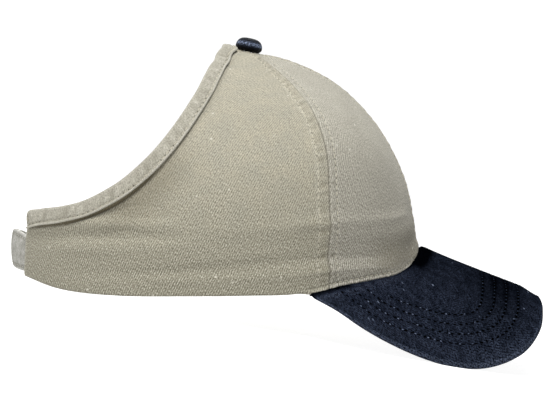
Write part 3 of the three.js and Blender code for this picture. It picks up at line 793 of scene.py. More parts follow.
# %% Outline of a side panel
SIDE_ROWS, SIDE_COLUMNS = 250, 110
# shares of the rows that end on the back edge, at its rounded corner and on the join
BACK_SHARE, CORNER_SHARE, JOIN_SHARE = 5 / 26, 0.012, 2 / 26
BACK_SLANT = 1.7
row_share = crowded_ends(SIDE_ROWS, 4, 0)
edge_part = (row_share - BACK_SHARE) / (1 - BACK_SHARE - JOIN_SHARE)
edge_share = even_places(opening_curve, np.clip(edge_part, 0, 1))
outline = walk(opening_curve(edge_share), edge_frame(edge_share)[2], PANEL_EDGE_IN + tucked_in(edge_share))
corner_rise, last_rise = outline[0, 1], outline[-1, 1]
# the upright back edge slants out a little towards the rim, and turns into the opening at its top
at_corner = np.clip((row_share - BACK_SHARE) / CORNER_SHARE, 0, 1)
up_back = row_share / BACK_SHARE
back_angle = BACK_EDGE + BACK_SLANT * (1 - np.clip(up_back, 0, 1))
curved = BACK_EDGE + (outline[:, 0] - BACK_EDGE) * at_corner
outline[:, 0] = np.where(edge_part <= 0, back_angle, curved)
outline[:, 1] = np.where(edge_part <= 0, corner_rise * up_back, outline[:, 1])
in_join = edge_part >= 1
join_part = (row_share[in_join] - 1 + JOIN_SHARE) / JOIN_SHARE
joined_rise = last_rise + (TIP_RISE - last_rise) * join_part
outline[in_join] = beside_seam(np.stack([np.full_like(joined_rise, 180), joined_rise], -1), -1)
print("rows along the opening:", int(((edge_part > 0) & (edge_part < 1)).sum()), "of", len(row_share))

# %% Places and distances on a side panel
columns = crowded_ends(SIDE_COLUMNS, 3, 2)
columns = (columns * (1 + 0.3 * (1 - columns)))[None, :, None]
side_seam = beside_seam(rising_edge(FRONT_SEAM, crowded_top(row_share)), 1)
side_places = side_seam[:, None] * (1 - columns) + outline[:, None] * columns
side_angle, side_rise = side_places[..., 0], side_places[..., 1]
side_face = crown(side_angle, side_rise)
past_seam = along_rows(side_face)
to_edge = past_seam[:, -1:] - past_seam
side_climb = along_rows(side_face.transpose(1, 0, 2)).T
# how far each point lies from the opening, square to it, and which part of the opening is nearest
on_opening = (edge_part >= 0) & (edge_part <= 1)
opening_points = side_face[on_opening, -1]
edge_gap, near_part = np.zeros(to_edge.shape), np.zeros(to_edge.shape)
for r, row in enumerate(side_face):
    apart = size_of(row[:, None] - opening_points[None])
    edge_gap[r], near_part[r] = apart.min(1), edge_part[on_opening][apart.argmin(1)]
print("side panel's width at the rim, mm:", round(past_seam[0, -1]))

# %% Side panels
# how far in from the panel's edge the cloth lies in the shadow of the binding's free lip
UNDER_LIP = 6.4
joined = smoothstep(row_share, 1 - JOIN_SHARE - 0.01, 1 - JOIN_SHARE + 0.01)[:, None]
at_back = falls(row_share, BACK_SHARE, BACK_SHARE + 0.03)[:, None]
along_opening = smoothstep(near_part, 0.0, 0.06) * falls(near_part, 0.75, 0.9)
low_edge = (0.6 + 0.4 * smoothstep(near_part, 0.04, 0.2)) * along_opening * falls(near_part, 0.28, 0.46)
hollow = smoothstep(near_part, 0.22, 0.32) * falls(near_part, 0.40, 0.54)
slack_shows = np.where(at_back > 0.5, smoothstep(to_edge, 0, 6), smoothstep(edge_gap, 3.0, 7.0))
side_push = (seam_push(past_seam, side_climb, SEAM_STITCH, 0.0, pucker=0.32)
             + joined * seam_push(to_edge, side_climb, FRONT_STITCH, 0.9, pucker=0.05)
             + rim_push(side_climb, side_angle) + slack_push(side_angle, side_rise) * slack_shows
             - at_back * 0.6 * bump(to_edge, 0, 0.6) - hollow * 0.8 * bump(edge_gap, 16, 8)
             - (along_opening * 0.15 + low_edge * 0.65) * bump(edge_gap, UNDER_LIP, 0.8))
# painted shade in the hollow and painted shadow under the binding's free lip; the seam and rim add fading
# and painted shade, and the back edge fades
side_wear_and_shade = (seam_wear_and_shade(past_seam, side_climb, SEAM_STITCH) + rim_wear_and_light(side_climb, side_angle)
             + at_back * 0.3 * bump(to_edge, 1.2, 1.0) - hollow * 0.44 * bump(edge_gap, 10, 9)
             - low_edge * 1.5 * bump(edge_gap, UNDER_LIP, 0.65)
             - along_opening * 0.12 * bump(edge_gap, UNDER_LIP, 0.6))
side_outer, side_inner = panel_wall(side_places, side_push)
side_uv = grain(side_angle, side_rise, SIDE_MIDDLE)
add_pair("side_panel", side_outer, side_inner, side_uv, side_wear_and_shade, khaki)

# %% [markdown]
# ## Binding of the opening
# A strip cut on the bias is folded round the raw edge and sewn through. Its section is a narrow fold
# that is swept along the edge. Cut on the bias it stretches unevenly, so it puckers every few
# millimetres. A line of stitches runs at four fifths of its width, and the free lip beyond it lifts
# a little and throws the thin dark shadow that outlines the opening.

# %% Section of the binding
BIND_WIDTH, BIND_CLOTH, BIND_CLEAR, BIND_GROOVE, BIND_STITCH, BIND_TURN = 8.0, 0.9, 0.35, 1.2, 6.4, 1.3
BIND_OUT, BIND_IN = BIND_CLEAR + BIND_CLOTH, -CLOTH - BIND_CLEAR - BIND_CLOTH
# which points of the section lie on its outer and on its inner side
BIND_TOP, BIND_UNDER = slice(0, 30), slice(44, 53)


def binding_section():
    """Distances in from the fold and out from the crown's face, round the folded strip."""
    top = [(w, BIND_OUT) for w in np.linspace(7.7, BIND_TURN, 30)]
    fold = [(BIND_TURN * (1 - abs(math.cos(a - math.pi)) ** 0.8),
             (BIND_OUT + BIND_IN) / 2 + (BIND_OUT - BIND_IN) / 2 * math.sin(a))
            for a in np.radians(np.linspace(90, 270, 15)[1:-1])]
    under = [(w, BIND_IN) for w in np.linspace(BIND_TURN, 7.6, 10)]
    lip_in = [(7.9, BIND_IN + 0.15), (8.0, BIND_IN + BIND_CLOTH / 2), (7.9, BIND_IN + BIND_CLOTH - 0.1)]
    groove = [(w, BIND_IN + BIND_CLOTH) for w in (6.0, 3.5, BIND_GROOVE)]
    back = [(w, BIND_CLEAR) for w in (BIND_GROOVE, 3.5, 6.0)]
    lip_out = [(7.9, BIND_CLEAR + 0.1), (8.0, BIND_CLEAR + BIND_CLOTH / 2), (7.9, BIND_OUT - 0.15)]
    return np.array(top + fold + under + lip_in + groove + back + lip_out)


section = binding_section()
print("points round the binding:", len(section))

# %% Sweep of the binding
# width of the folded strip at shares of half its length; it narrows where it passes behind the button
BIND_SHARES = [0, 0.70, 0.78, 0.84, 0.90, 0.94, 0.97, 1.0]
BIND_WIDTHS = [8.0, 7.9, 7.7, 8.5, 8.0, 6.7, 5.6, 5.2]
BIND_NEAR = [-0.06, -0.04, -0.02, 0, 0.02, 0.04, 0.06]
BIND_RINGS = 290


def binding_face(share, distance, height):
    """Points at distances in from the fold and heights over the cloth, at shares along one half."""
    share, distance, height = np.broadcast_arrays(share, distance, height)
    shape = share.shape
    share, distance, height = share.ravel(), distance.ravel(), height.ravel()
    narrow = smooth_curve(BIND_SHARES, BIND_WIDTHS, share, flat_ends=True) / BIND_WIDTH
    distance = np.where(distance > BIND_GROOVE + 0.01, distance * narrow, distance)
    distance = distance + tucked_in(share) * np.clip(1 - (distance - BIND_GROOVE) / 6, 0, 1)
    # the way in is averaged along the edge, so that the inner lip doesn't kink where the edge turns
    nearby = [edge_frame(np.clip(share + step, 0, 1))[2] for step in BIND_NEAR]
    there = walk(opening_curve(share), unit(sum(nearby)), distance)
    return (crown(*there.T) + height[:, None] * crown_normal(*there.T)).reshape(*shape, 3)


bind_share = even_places(opening_curve, np.linspace(0, 1, BIND_RINGS))
bind_length = run_along(crown(*opening_curve(bind_share).T))
run = bind_length[:, None]
width = section[:, 0][None, :]
level = np.repeat(section[:, 1][None, :], len(bind_share), 0)
ripples = waver(run * 0.85 + 0.35 * width, 0.3)
pucker = 0.34 * ripples * bump(width, 4.4, 2.4)
stitched = -0.34 * bump(width, BIND_STITCH, 0.5) * (1 + 0.4 * per_stitch(run))
lifted = (0.22 + 0.33 * smoothstep(bind_share, 0.0, 0.06) * falls(bind_share, 0.32, 0.52)
          + 0.30 * falls(bind_share, 0.15, 0.40))[:, None] * smoothstep(width, 6.6, 7.6)
# the strip is pressed thinner over its last 3 mm
pressed = 0.12 * (1 - np.minimum(run, 3.0) / 3.0) * np.sign(level + 0.65)
bind_height = level + smoothstep(level, -0.4, 0.9) * (pucker + stitched + lifted) - pressed
bind_half = binding_face(bind_share[:, None], width, bind_height)
bind_half[-1, :, 1] = 0
bind_sections = np.concatenate([bind_half, mirrored(bind_half[-2::-1])])
whole_run = np.concatenate([bind_length, 2 * bind_length[-1] - bind_length[-2::-1]])
print("binding length in mm:", round(float(whole_run[-1])))

# %% Binding
# cut at 45 degrees, so the cloth's two directions run slanting to the strip
across_run, round_run = 0.7 * whole_run[:, None], 0.7 * run_along(section)[None, :]
bind_uv = np.stack([across_run + round_run, round_run - across_run], -1)
# the free lip and the fold are paler, and the puckers' hollows get painted shade
bind_wear_and_shade = (0.25 * smoothstep(width, 6.9, 7.5) + 0.22 * falls(width, 0.4, 2.0)
             - 0.24 * (0.3 - ripples) * bump(width, 4.2, 1.9))
bind_wear_and_shade = np.concatenate([bind_wear_and_shade, bind_wear_and_shade[-2::-1]])
binding = lofted_piece("opening_binding_cloth", bind_sections, bind_uv, bind_wear_and_shade, bias_khaki)
attach(binding, "opening_binding")

# %% [markdown]
# ## Peak
# A stiff curved board lies between two layers of navy twill. From the rim it runs straight to the
# edge in every direction, which makes the same surface as bending a flat card, and it is highest in
# the middle. Rows of stitches run parallel to the edge and quilt the cloth to the board, so the face
# dips slightly along each row.

# %% Edge and root of the peak
PEAK_END, PEAK_THICK, PEAK_END_THICK, PEAK_GAP, PEAK_ROLL = 58.6, 3.2, 1.4, 0.45, 2.0
PEAK_SHARE = [0, 0.15, 0.30, 0.45, 0.60, 0.75, 0.90, 0.95]
PEAK_EDGE = np.array([
    [157.3, 0.0, -3.3], [158.0, 18.3, -7.9], [155.9, 35.5, -17.6], [146.6, 50.0, -27.3],
    [128.4, 61.6, -32.2], [105.3, 70.8, -27.7], [75.7, 77.0, -13.0], [65.2, 73.6, -6.4],
])


def peak_thickness(share):
    return PEAK_THICK + (PEAK_END_THICK - PEAK_THICK) * np.abs(share) ** 4


def peak_edge(share):
    """Middle of the rounded edge, at shares from 0 at the centre to 1 at the end."""
    end = crown(PEAK_END, 0) - np.array([0, 0, PEAK_GAP + PEAK_END_THICK / 2])
    knots = np.concatenate([mirrored(PEAK_EDGE[2:0:-1]), PEAK_EDGE, end[None]])
    return smooth_weights([-0.30, -0.15, *PEAK_SHARE, 1], share) @ knots


def peak_root(share):
    root = crown(share * PEAK_END, 0)
    root[:, 2] -= PEAK_GAP + peak_thickness(share) / 2
    return root


print("centre of the peak's edge:", peak_edge([0.0])[0].round(1))

# %% Middle of the board
# rows across the peak: inside the crown, at its wall, and on to the edge
out_share = np.concatenate([[0, 0.012, 0.035], 0.07 + 0.93 * crowded_ends(64, 0, 2)])
# sections crowd towards the ends and stop just short of them, where the board would come to a point
PEAK_SECTIONS, PEAK_CROWD, PEAK_LAST = 100, math.pi / 2 * 0.94, 0.992
peak_share = PEAK_LAST * np.sin(np.linspace(0, 1, PEAK_SECTIONS) * PEAK_CROWD) / math.sin(PEAK_CROWD)
roots, edges = peak_root(peak_share), peak_edge(peak_share)
roll = PEAK_ROLL * (1 - peak_share**4)[:, None] * ((1 - out_share) * smoothstep(out_share, 0, 0.05))
puffed = smoothstep(out_share, 0, 0.012) * np.exp(-out_share / 0.15)
roll = roll + 1.3 * bump(peak_share, 0, 0.25)[:, None] * puffed
drooped = 1.8 * bump(peak_share, 0, 0.16)[:, None] * smoothstep(out_share, 0.84, 1.0)
middle = roots[:, None] + (edges - roots)[:, None] * out_share[None, :, None]
middle[..., 2] += roll - drooped
outward = unit(crown_normal(peak_share * PEAK_END, 0 * peak_share) * np.array([1, 1, 0]))
tucked = roots - outward * (CLOTH + HEM_EXTRA)
middle = np.concatenate([tucked[:, None], middle], 1)
whole_share = np.concatenate([-peak_share[:0:-1], peak_share])
peak_middle = np.concatenate([mirrored(middle[:0:-1]), middle])
print("peak's grid:", peak_middle.shape[:2])

# %% Quilting
PEAK_ROWS = [10.8, 16.6, 22.4, 28.2]
PEAK_PITCH = 3.1
peak_normal = unit(np.cross(np.gradient(peak_middle, axis=1), np.gradient(peak_middle, axis=0)))
peak_normal *= np.sign(peak_normal[..., 2:3])
mid_column = peak_middle.shape[1] // 2
peak_up = unit(peak_normal[:, mid_column] + np.array([0, 0, 0.8]))[:, None]
# distance from every point of the board to its edge
edge_fine = peak_edge(np.linspace(0, 1, 400))
edge_fine = np.concatenate([mirrored(edge_fine), edge_fine])
edge_distance = np.stack([size_of(line[:, None] - edge_fine[None]).min(1) for line in peak_middle])
quilted = sum(-0.22 * bump(edge_distance, row, 0.75) for row in PEAK_ROWS)
half_thick = peak_thickness(whole_share)[:, None] / 2
top = peak_middle + (half_thick + quilted)[..., None] * peak_up
under = peak_middle - (half_thick + quilted)[..., None] * peak_up
print("peak's edge to its root at the centre, mm:", edge_distance[len(peak_middle) // 2, 0].round(1))

# %% Peak body with its rounded edge
EDGE_STEPS = 9


def over_the_edge(face, edge):
    """Values of the top, of the rounded edge and of the underside, which has the top's."""
    return np.concatenate([face, np.repeat(edge, EDGE_STEPS, 1), face[:, ::-1]], 1)


across_edge = unit(peak_middle[:, -1] - peak_middle[:, -2])
round_turn = np.linspace(math.pi / 2, -math.pi / 2, EDGE_STEPS + 2)[1:-1]
rounded = (peak_middle[:, -1][:, None]
           + half_thick[..., None] * np.sin(round_turn)[None, :, None] * peak_up
           + half_thick[..., None] * np.cos(round_turn)[None, :, None] * across_edge[:, None])
peak_sections = np.concatenate([top, rounded, under[:, ::-1]], 1)
# the peak's lowest places lie flat on the surface
peak_sections[..., 2] += np.maximum(-at_rest(peak_sections)[..., 2] / MM, 0) / math.cos(REST_TURN)
round_length = run_along(peak_sections[len(peak_sections) // 2])
past_edge = np.clip(round_length, round_length[top.shape[1] - 1], round_length[top.shape[1] + EDGE_STEPS])
peak_x = over_the_edge(peak_middle[..., 0], peak_middle[:, -1:, 0]) + past_edge
side_run = run_along(peak_middle[:, mid_column])
peak_y = np.repeat((side_run - side_run.mean())[:, None], peak_sections.shape[1], 1)
print("length of the board's middle line, mm:", round(side_run[-1]))

# %% [markdown]
# The peak's cloth fades along its very edge, which is handled most, and it is a little lighter just
# below the crown's lip. Painted shade darkens it across the middle and along every row of stitches, and
# painted shadow in the corners under the crown.

# %% Wear and painted shade of the peak
to_side = smoothstep(np.abs(peak_middle[..., 1]), 8, 62)
from_root = size_of(peak_middle - peak_middle[:, 1:2])
round_root = np.abs(whole_share)[:, None]
# the painted shadow of the crown's lip on the peak, at each side
side_corner_shadow = falls(from_root, 1, 4) * smoothstep(round_root, 0.74, 0.84)
# how much lighter, and where: painted shade across the middle and its quilted band, painted shadow in
# the two corners under the crown, lighter below the lip, painted shade along the rows of stitches, and
# fading along the edge at the side and at the front
PEAK_WEAR_AND_SHADE = [
    (-0.42, 1 - to_side),
    (-0.42, bump(edge_distance, 20.0, 13.0) * (1 - to_side)),
    (-0.90, falls(from_root, 4, 11) * falls(round_root, 0.2, 0.4)),
    (-0.90, side_corner_shadow),
    (0.25, bump(from_root, 3.5, 3.0) * smoothstep(round_root, 0.3, 0.45) * (1 - side_corner_shadow)),
    (-0.22, sum(bump(edge_distance, row, 1.3) for row in PEAK_ROWS)),
    (0.04, bump(edge_distance, 6.0, 4.0) * smoothstep(round_root, 0.5, 0.65)),
    (0.14, bump(edge_distance, 0.0, 7.0) * falls(round_root, 0.5, 0.65)),
]
# the rounded edge itself is paler still
EDGE_FADE = 0.38
face_wear_and_shade = sum(amount * place for amount, place in PEAK_WEAR_AND_SHADE)
peak_wear_and_shade = over_the_edge(face_wear_and_shade, face_wear_and_shade[:, -1:] + EDGE_FADE)
peak = lofted_piece("peak_cloth", peak_sections, np.stack([peak_y, peak_x], -1), peak_wear_and_shade, navy)
attach(peak, "peak")

# %% [markdown]
# ## Button
# A metal button covered in the peak's navy twill closes the top, where the gores meet. It is a
# flattened dome with a full, rounded rim, and it leans forward with the slope of the cloth. A lathe
# profile gives its shape, and shallow pleats run round its side where the cloth is gathered under.

# %% Button's profile
BUTTON_RADIUS, BUTTON_HEIGHT, BUTTON_LEAN, BUTTON_BACK, BUTTON_BELLY = 6.4, 6.4, 12.0, 0.9, 2.0
BUTTON_STEM, BUTTON_PLATE, PLATE_HEIGHT = 1.5, 4.6, 1.0
lean_cos, lean_sin = math.cos(math.radians(BUTTON_LEAN)), math.sin(math.radians(BUTTON_LEAN))
axis, ahead, aside = np.array([[lean_sin, 0, lean_cos], [lean_cos, 0, -lean_sin], [0, 1.0, 0]])


def crown_span(radius):
    """Lowest and highest the crown stands along the button's axis, within a radius."""
    angle, rise = np.meshgrid(np.arange(0, 181, 5.0), np.arange(0.88, TIP_RISE, 0.005))
    offset = crown(angle, rise) - crown(0, 1)
    along = offset @ axis
    near = np.sqrt(np.maximum((offset**2).sum(-1) - along**2, 0)) < radius
    return along[near].min(), along[near].max()


seat = crown_span(BUTTON_RADIUS - 0.9)[1] - 0.25
plate_top = crown_span(BUTTON_PLATE)[0] - CLOTH - BIND_CLEAR
dome_turn = np.radians(np.linspace(-52, 90, 26))[:-1]
dome_tall = np.where(dome_turn > 0, BUTTON_HEIGHT - BUTTON_BELLY, 2.55)
# radius and height along the axis, from the plate inside the cap to the top of the dome
dome = np.stack([BUTTON_RADIUS * np.cos(dome_turn) ** 0.62,
                 seat + BUTTON_BELLY + dome_tall * np.sin(dome_turn)], -1)
rings = np.concatenate([[
    (BUTTON_PLATE, plate_top - PLATE_HEIGHT), (BUTTON_PLATE, plate_top), (BUTTON_STEM, plate_top),
    (BUTTON_STEM, seat + 0.3), (BUTTON_RADIUS - 1.9, seat)], dome])
print("button seat", round(float(seat), 2), "plate top", round(float(plate_top), 2))

# %% Button body
button_turn = np.linspace(0, math.tau, 72, endpoint=False)
pleat = 0.10 * smoothstep(rings[:, 0], 3.5, 6.2) * (rings[:, 1] > seat - 0.1)
radius = rings[:, :1] + pleat[:, None] * np.sin(17 * button_turn + np.sin(3 * button_turn))[None]
button_points = (crown(0, 1) - np.array([BUTTON_BACK, 0, 0]) + rings[:, 1][:, None, None] * axis
                 + (radius * np.cos(button_turn))[..., None] * ahead
                 + (radius * np.sin(button_turn))[..., None] * aside)
over = run_along(rings[::-1])[::-1] + 0.5
button_uv = over[:, None, None] * np.stack([np.cos(button_turn), np.sin(button_turn)], -1)[None]
# a painted highlight runs round the dome's shoulder, with painted shade below it and at the top
climbed = (rings[:, 1] - seat) / BUTTON_HEIGHT
button_painted_light = 0.75 * bump(climbed, 0.53, 0.13) - 0.9 * falls(climbed, 0.10, 0.40)
button_painted_light = (button_painted_light - 0.45 * smoothstep(climbed, 0.70, 0.90))[:, None]
button = lofted_piece("crown_button_cover", button_points, button_uv, button_painted_light, button_navy)
attach(button, "crown_button")

# %% [markdown]
# ## Closing straps
# A band comes out of the back corner of each side panel and crosses the centre back, the right one
# over the left. Each is a tape folded double, so its long edges are round and it's stitched along both.

# %% Course of a strap
STRAP_WIDTH, STRAP_CLOTH, STRAP_TUCKED, STRAP_PAST = 16.7, 1.2, 39.0, 15.0
STRAP_SLACK, STRAP_BOW, STRAP_GAP, STRAP_SAG, STRAP_ROUND, STRAP_END = 0.15, 1.0, 0.35, 2.0, 0.6, 6
STRAP_ANGLE = [-39, -26, -14, -6, 0, 6, 15, 22, 27, 31, 39]
STRAP_LOW = [7.6, 7.2, 7.9, 10.1, 10.9, 11.3, 11.5, 9.9, 8.4, 7.6, 7.2]
STRAP_ROW, STRAP_PITCH = 1.9, 2.6


def strap_face(angle, level, layer, side):
    """The strap's outer face at angles round the back and levels from its lower to its upper edge."""
    angle, level = np.broadcast_arrays(angle, level)
    back = falls(np.abs(180 - angle), 2, 180 - BACK_EDGE + 2)
    low = smooth_curve(STRAP_ANGLE, STRAP_LOW, (side * (180 - angle)).ravel()).reshape(angle.shape)
    end = np.maximum(0, (angle - (180 + STRAP_PAST - STRAP_END)) / STRAP_END)
    narrow = 0.5 * (1 - np.sqrt(1 - 0.8 * end**2))
    height = narrow + (1 - 2 * narrow) * level
    inside = -(CLOTH + HEM_EXTRA + STRAP_GAP + STRAP_SLACK) * (1 - back)
    push = (inside - layer * smoothstep(angle, BACK_EDGE, 180 - STRAP_PAST)
            - STRAP_BOW * (2 * height - 1) ** 2)
    c, s = np.cos(np.radians(angle)), np.sin(np.radians(angle))
    outward = unit(np.stack([c / RIM_BACK, s / RIM_HALF, 0 * c], -1))
    sag = STRAP_SAG * bump(side * (180 - angle), 15, 9)
    base = np.stack([RIM_BACK * c, RIM_HALF * s, low - sag * (1 - height) + STRAP_WIDTH * height], -1)
    return base + push[..., None] * outward, outward


def thinned(distance):
    """How much a rounded edge takes off half the tape's thickness, at a distance from the edge."""
    into = 1 - np.minimum(distance, STRAP_ROUND) / STRAP_ROUND
    return 0.5 * STRAP_CLOTH * (1 - np.sqrt(1 - into**2))


centre_back = strap_face(np.array([180.0]), 1.0, 0, 1)[0]
print("strap's height at the centre back, mm:", centre_back[0, 2].round(1))

# %% Straps
strap_rows = []
STRAP_LEVELS, STRAP_STATIONS = 26, 110
strap_angle = np.linspace(180 - STRAP_TUCKED, 180 + STRAP_PAST, STRAP_STATIONS)
strap_level = (1 - np.cos(np.linspace(0, math.pi, STRAP_LEVELS)))[:, None] / 2
up = strap_level * STRAP_WIDTH
edge = np.minimum(up, STRAP_WIDTH - up)
# the long edges are rubbed pale, and painted shade darkens the stitched dimples
strap_wear_and_shade = 0.6 * bump(edge, 0, 0.9) - 0.6 * bump(edge, STRAP_ROW, 0.6)
for side_name, layer, side in (("left", STRAP_CLOTH + STRAP_GAP, -1), ("right", 0.0, 1)):
    place = mirrored if side == 1 else np.array
    face, outward = strap_face(strap_angle[None, :], strap_level, layer, side)
    run = along_rows(face)
    dimple = -0.22 * bump(edge, STRAP_ROW, 0.5) * (1 + 0.3 * per_stitch(run))
    ripple = 0.08 * waver(run * 0.8, side) * bump(edge, 2.5, 2.0)
    thin = 0.92 * np.maximum(thinned(edge), thinned(run[:, -1:] - run))
    strap_outer = face + (dimple + ripple - thin)[..., None] * outward
    strap_inner = face - (STRAP_CLOTH - thin)[..., None] * outward
    strap = wall_piece(f"strap_{side_name}_cloth", place(strap_outer), place(strap_inner),
                       np.stack([run, up + 0 * run], -1), strap_wear_and_shade, strap_khaki)
    attach(strap, f"strap_{side_name}")
    # stitched along both edges and once across the end
    row_level = STRAP_ROW / STRAP_WIDTH
    lines = [(strap_angle[2:-4], share) for share in (row_level, 1 - row_level)]
    lines.append((180 + STRAP_PAST - 2.0, np.linspace(0.14, 0.86, 12)))
    for turn, share in lines:
        line, out = strap_face(turn, share, layer, side)
        strap_rows.append((place(line), place(out)))
print("strap rows:", len(strap_rows))

# %% [markdown]
# ## Stitches
# A lockstitch is a row of short thread bumps with a needle hole between each two. Modelling them one
# by one would take hours, so one Geometry Nodes tree walks along each row, drops a small rounded body
# every few millimetres, lays it along the row and flat on the cloth, and turns the lot into a mesh.
# The same tree makes the painted shade of the needle holes, a smaller, darker body half a stitch further
# on.

# %% Stitch tree
LENGTHS = ["Pitch", "Length", "Width", "Height", "Lift", "Shift"]
KINDS = {"Seed": "Int", "Rows": "Geometry", "Stitches": "Geometry", "Material": "Material"}
stitches = bpy.data.node_groups.new("stitches along a row", "GeometryNodeTree")
for name in ["Rows", *LENGTHS, "Turn", "Seed", "Material", "Stitches"]:
    stitches.interface.new_socket(name, in_out="OUTPUT" if name == "Stitches" else "INPUT",
                                  socket_type="NodeSocket" + KINDS.get(name, "Float"))
given = add_node(stitches, "NodeGroupInput")
curve = add_node(stitches, "GeometryNodeMeshToCurve", {}, (given["Rows"],))[0]
walked = add_node(stitches, "GeometryNodeCurveToPoints", {"mode": "LENGTH"}, {
    "Curve": curve, "Length": given["Pitch"]})
out = add_node(stitches, "GeometryNodeInputNamedAttribute", {"data_type": "FLOAT_VECTOR"}, {
    "Name": "out"})[0]
ahead = add_node(stitches, "ShaderNodeVectorMath", {"operation": "SCALE"}, {
    0: walked["Tangent"], "Scale": given["Shift"]})[0]
raised = add_node(stitches, "ShaderNodeVectorMath", {"operation": "SCALE"}, {
    0: out, "Scale": given["Lift"]})[0]
moved = add_node(stitches, "ShaderNodeVectorMath", {"operation": "ADD"}, (ahead, raised))[0]
print("sizes that a row takes:", LENGTHS)

# %% How a stitch lies
lying = add_node(stitches, "FunctionNodeAlignRotationToVector", {"axis": "X"}, {
    "Vector": walked["Tangent"]})[0]
facing = add_node(stitches, "FunctionNodeAlignRotationToVector", {"axis": "Z", "pivot_axis": "X"}, {
    "Rotation": lying, "Vector": out})[0]
least = add_node(stitches, "ShaderNodeMath", {"operation": "MULTIPLY"}, (given["Turn"], -1.0))[0]
chance = add_node(stitches, "FunctionNodeRandomValue", {"data_type": "FLOAT"}, {
    2: least, 3: given["Turn"], "Seed": given["Seed"]})[1]
twist = add_node(stitches, "ShaderNodeCombineXYZ", {}, {"Z": chance})[0]
turned = add_node(stitches, "FunctionNodeRotateRotation", {"rotation_space": "LOCAL"}, (facing, twist))[0]
size = add_node(stitches, "ShaderNodeCombineXYZ", {}, (given["Length"], given["Width"], given["Height"]))[0]
body = add_node(stitches, "GeometryNodeMeshUVSphere", {}, {"Segments": 8, "Rings": 6, "Radius": 0.5})[0]
smooth = add_node(stitches, "GeometryNodeSetShadeSmooth", {}, (body,))[0]
placed = add_node(stitches, "GeometryNodeSetPosition", {}, {
    "Geometry": walked["Points"], "Offset": moved})[0]
laid = add_node(stitches, "GeometryNodeInstanceOnPoints", {}, {
    "Points": placed, "Instance": smooth, "Rotation": turned, "Scale": size})[0]
real = add_node(stitches, "GeometryNodeRealizeInstances", {}, (laid,))[0]
sewn = add_node(stitches, "GeometryNodeSetMaterial", {}, {0: real, "Material": given["Material"]})[0]
add_node(stitches, "NodeGroupOutput", {}, (sewn,))
print("nodes in the stitch tree:", len(stitches.nodes))

# %% Sewing a row
def sew(name, rows, material, lengths, turn, seed):
    """Stitches along rows of (points, directions out of the cloth), with the tree's lengths in mm."""
    mesh = bpy.data.meshes.new(name + " rows")
    points, ways = (np.concatenate(part) for part in zip(*rows))
    starts = np.cumsum([0] + [len(row[0]) for row in rows])
    edges = [(i, i + 1) for first, last in zip(starts[:-1], starts[1:]) for i in range(first, last - 1)]
    mesh.from_pydata(at_rest(points).tolist(), edges, [])
    out = unit(at_rest(ways) - at_rest(np.zeros(3)))
    mesh.attributes.new("out", "FLOAT_VECTOR", "POINT").data.foreach_set("vector", out.ravel())
    source = bpy.data.objects.new(name + " rows", mesh)
    scene.collection.objects.link(source)
    modifier = source.modifiers.new("stitches", "NODES")
    modifier.node_group = stitches
    values = {size: length * MM for size, length in zip(LENGTHS, lengths)}
    values |= {"Turn": turn, "Seed": seed, "Material": material}
    for item in stitches.interface.items_tree:
        if item.name in values:
            modifier[item.identifier] = values[item.name]
    graph = bpy.context.evaluated_depsgraph_get()
    done = bpy.data.meshes.new_from_object(source.evaluated_get(graph), depsgraph=graph)
    bpy.data.objects.remove(source)
    piece = bpy.data.objects.new(name, done)
    scene.collection.objects.link(piece)
    attach(piece)
    print(name, "faces:", len(done.polygons))


# %% [markdown]
# ## Where the rows run
# Each row is read off the finished cloth, at its distance from a seam or an edge, so that every
# stitch sits in its own dimple.

# %% Rows on the crown
# rows stop short of the button, and start a little above the rim
BUTTON_CLEAR, FRONT_START, SIDE_START = 9.5, 4.5, 1.2
# the row along the rim, where the peak is sewn on: its height and the angle where it ends
RIM_ROW, RIM_ROW_END = 1.75, 56.5


def at_distance(target, distances, values):
    """Values in a line of them, at the place whose distance from an edge is the target."""
    order = np.argsort(distances)
    return [np.interp(target, distances[order], column) for column in values[order].T]


def row_beside(outer, places, distance, target, keep):
    """Points and outward directions at a distance from a seam, for the grid rows to keep."""
    kept = np.flatnonzero(keep)
    points = np.array([at_distance(target, distance[r], outer[r]) for r in kept])
    spots = np.array([at_distance(target, distance[r], places[r]) for r in kept])
    return points, crown_normal(*spots.T)


def both_sides(rows):
    return rows + [(mirrored(points), mirrored(out)) for points, out in rows]


keep_front = (size_of(front_face[:, 0] - crown(0, 1)) > BUTTON_CLEAR) & (front_climb.mean(1) > FRONT_START)
keep_side = (size_of(side_face[:, 0] - crown(0, 1)) > BUTTON_CLEAR) & (side_climb[:, 0] > SIDE_START)
crown_rows = both_sides([
    row_beside(front_outer, front_places, from_centre, FRONT_STITCH, keep_front),
    row_beside(front_outer, front_places, from_seam, FRONT_STITCH, keep_front),
    row_beside(side_outer, side_places, past_seam, SEAM_STITCH, keep_side),
])
rim_columns = np.flatnonzero(front_angle[0] < RIM_ROW_END)
rim_line = np.array([at_distance(RIM_ROW, front_climb[:, c], front_outer[:, c]) for c in rim_columns])
crown_rows += both_sides([(rim_line, crown_normal(front_angle[0, rim_columns], 0 * rim_columns + 0.03))])
print("rows on the crown:", len(crown_rows))

# %% Rows on the binding
def binding_row(side, sign):
    """A row along the whole binding, on its outer or its inner side."""
    points = [at_distance(BIND_STITCH, section[side, 0], ring[side]) for ring in bind_sections]
    half = crown_normal(*opening_curve(bind_share).T)
    out = sign * np.concatenate([half, mirrored(half[-2::-1])])
    return np.array(points)[2:-2], out[2:-2]


end_share = np.full(8, bind_share[2])
end_line = binding_face(end_share, np.linspace(1.6, 7.2, 8), BIND_OUT)
end_row = (end_line, crown_normal(*opening_curve(end_share).T))
bind_rows = [binding_row(BIND_TOP, 1), binding_row(BIND_UNDER, -1), *both_sides([end_row])]
print("rows on the binding:", len(bind_rows))

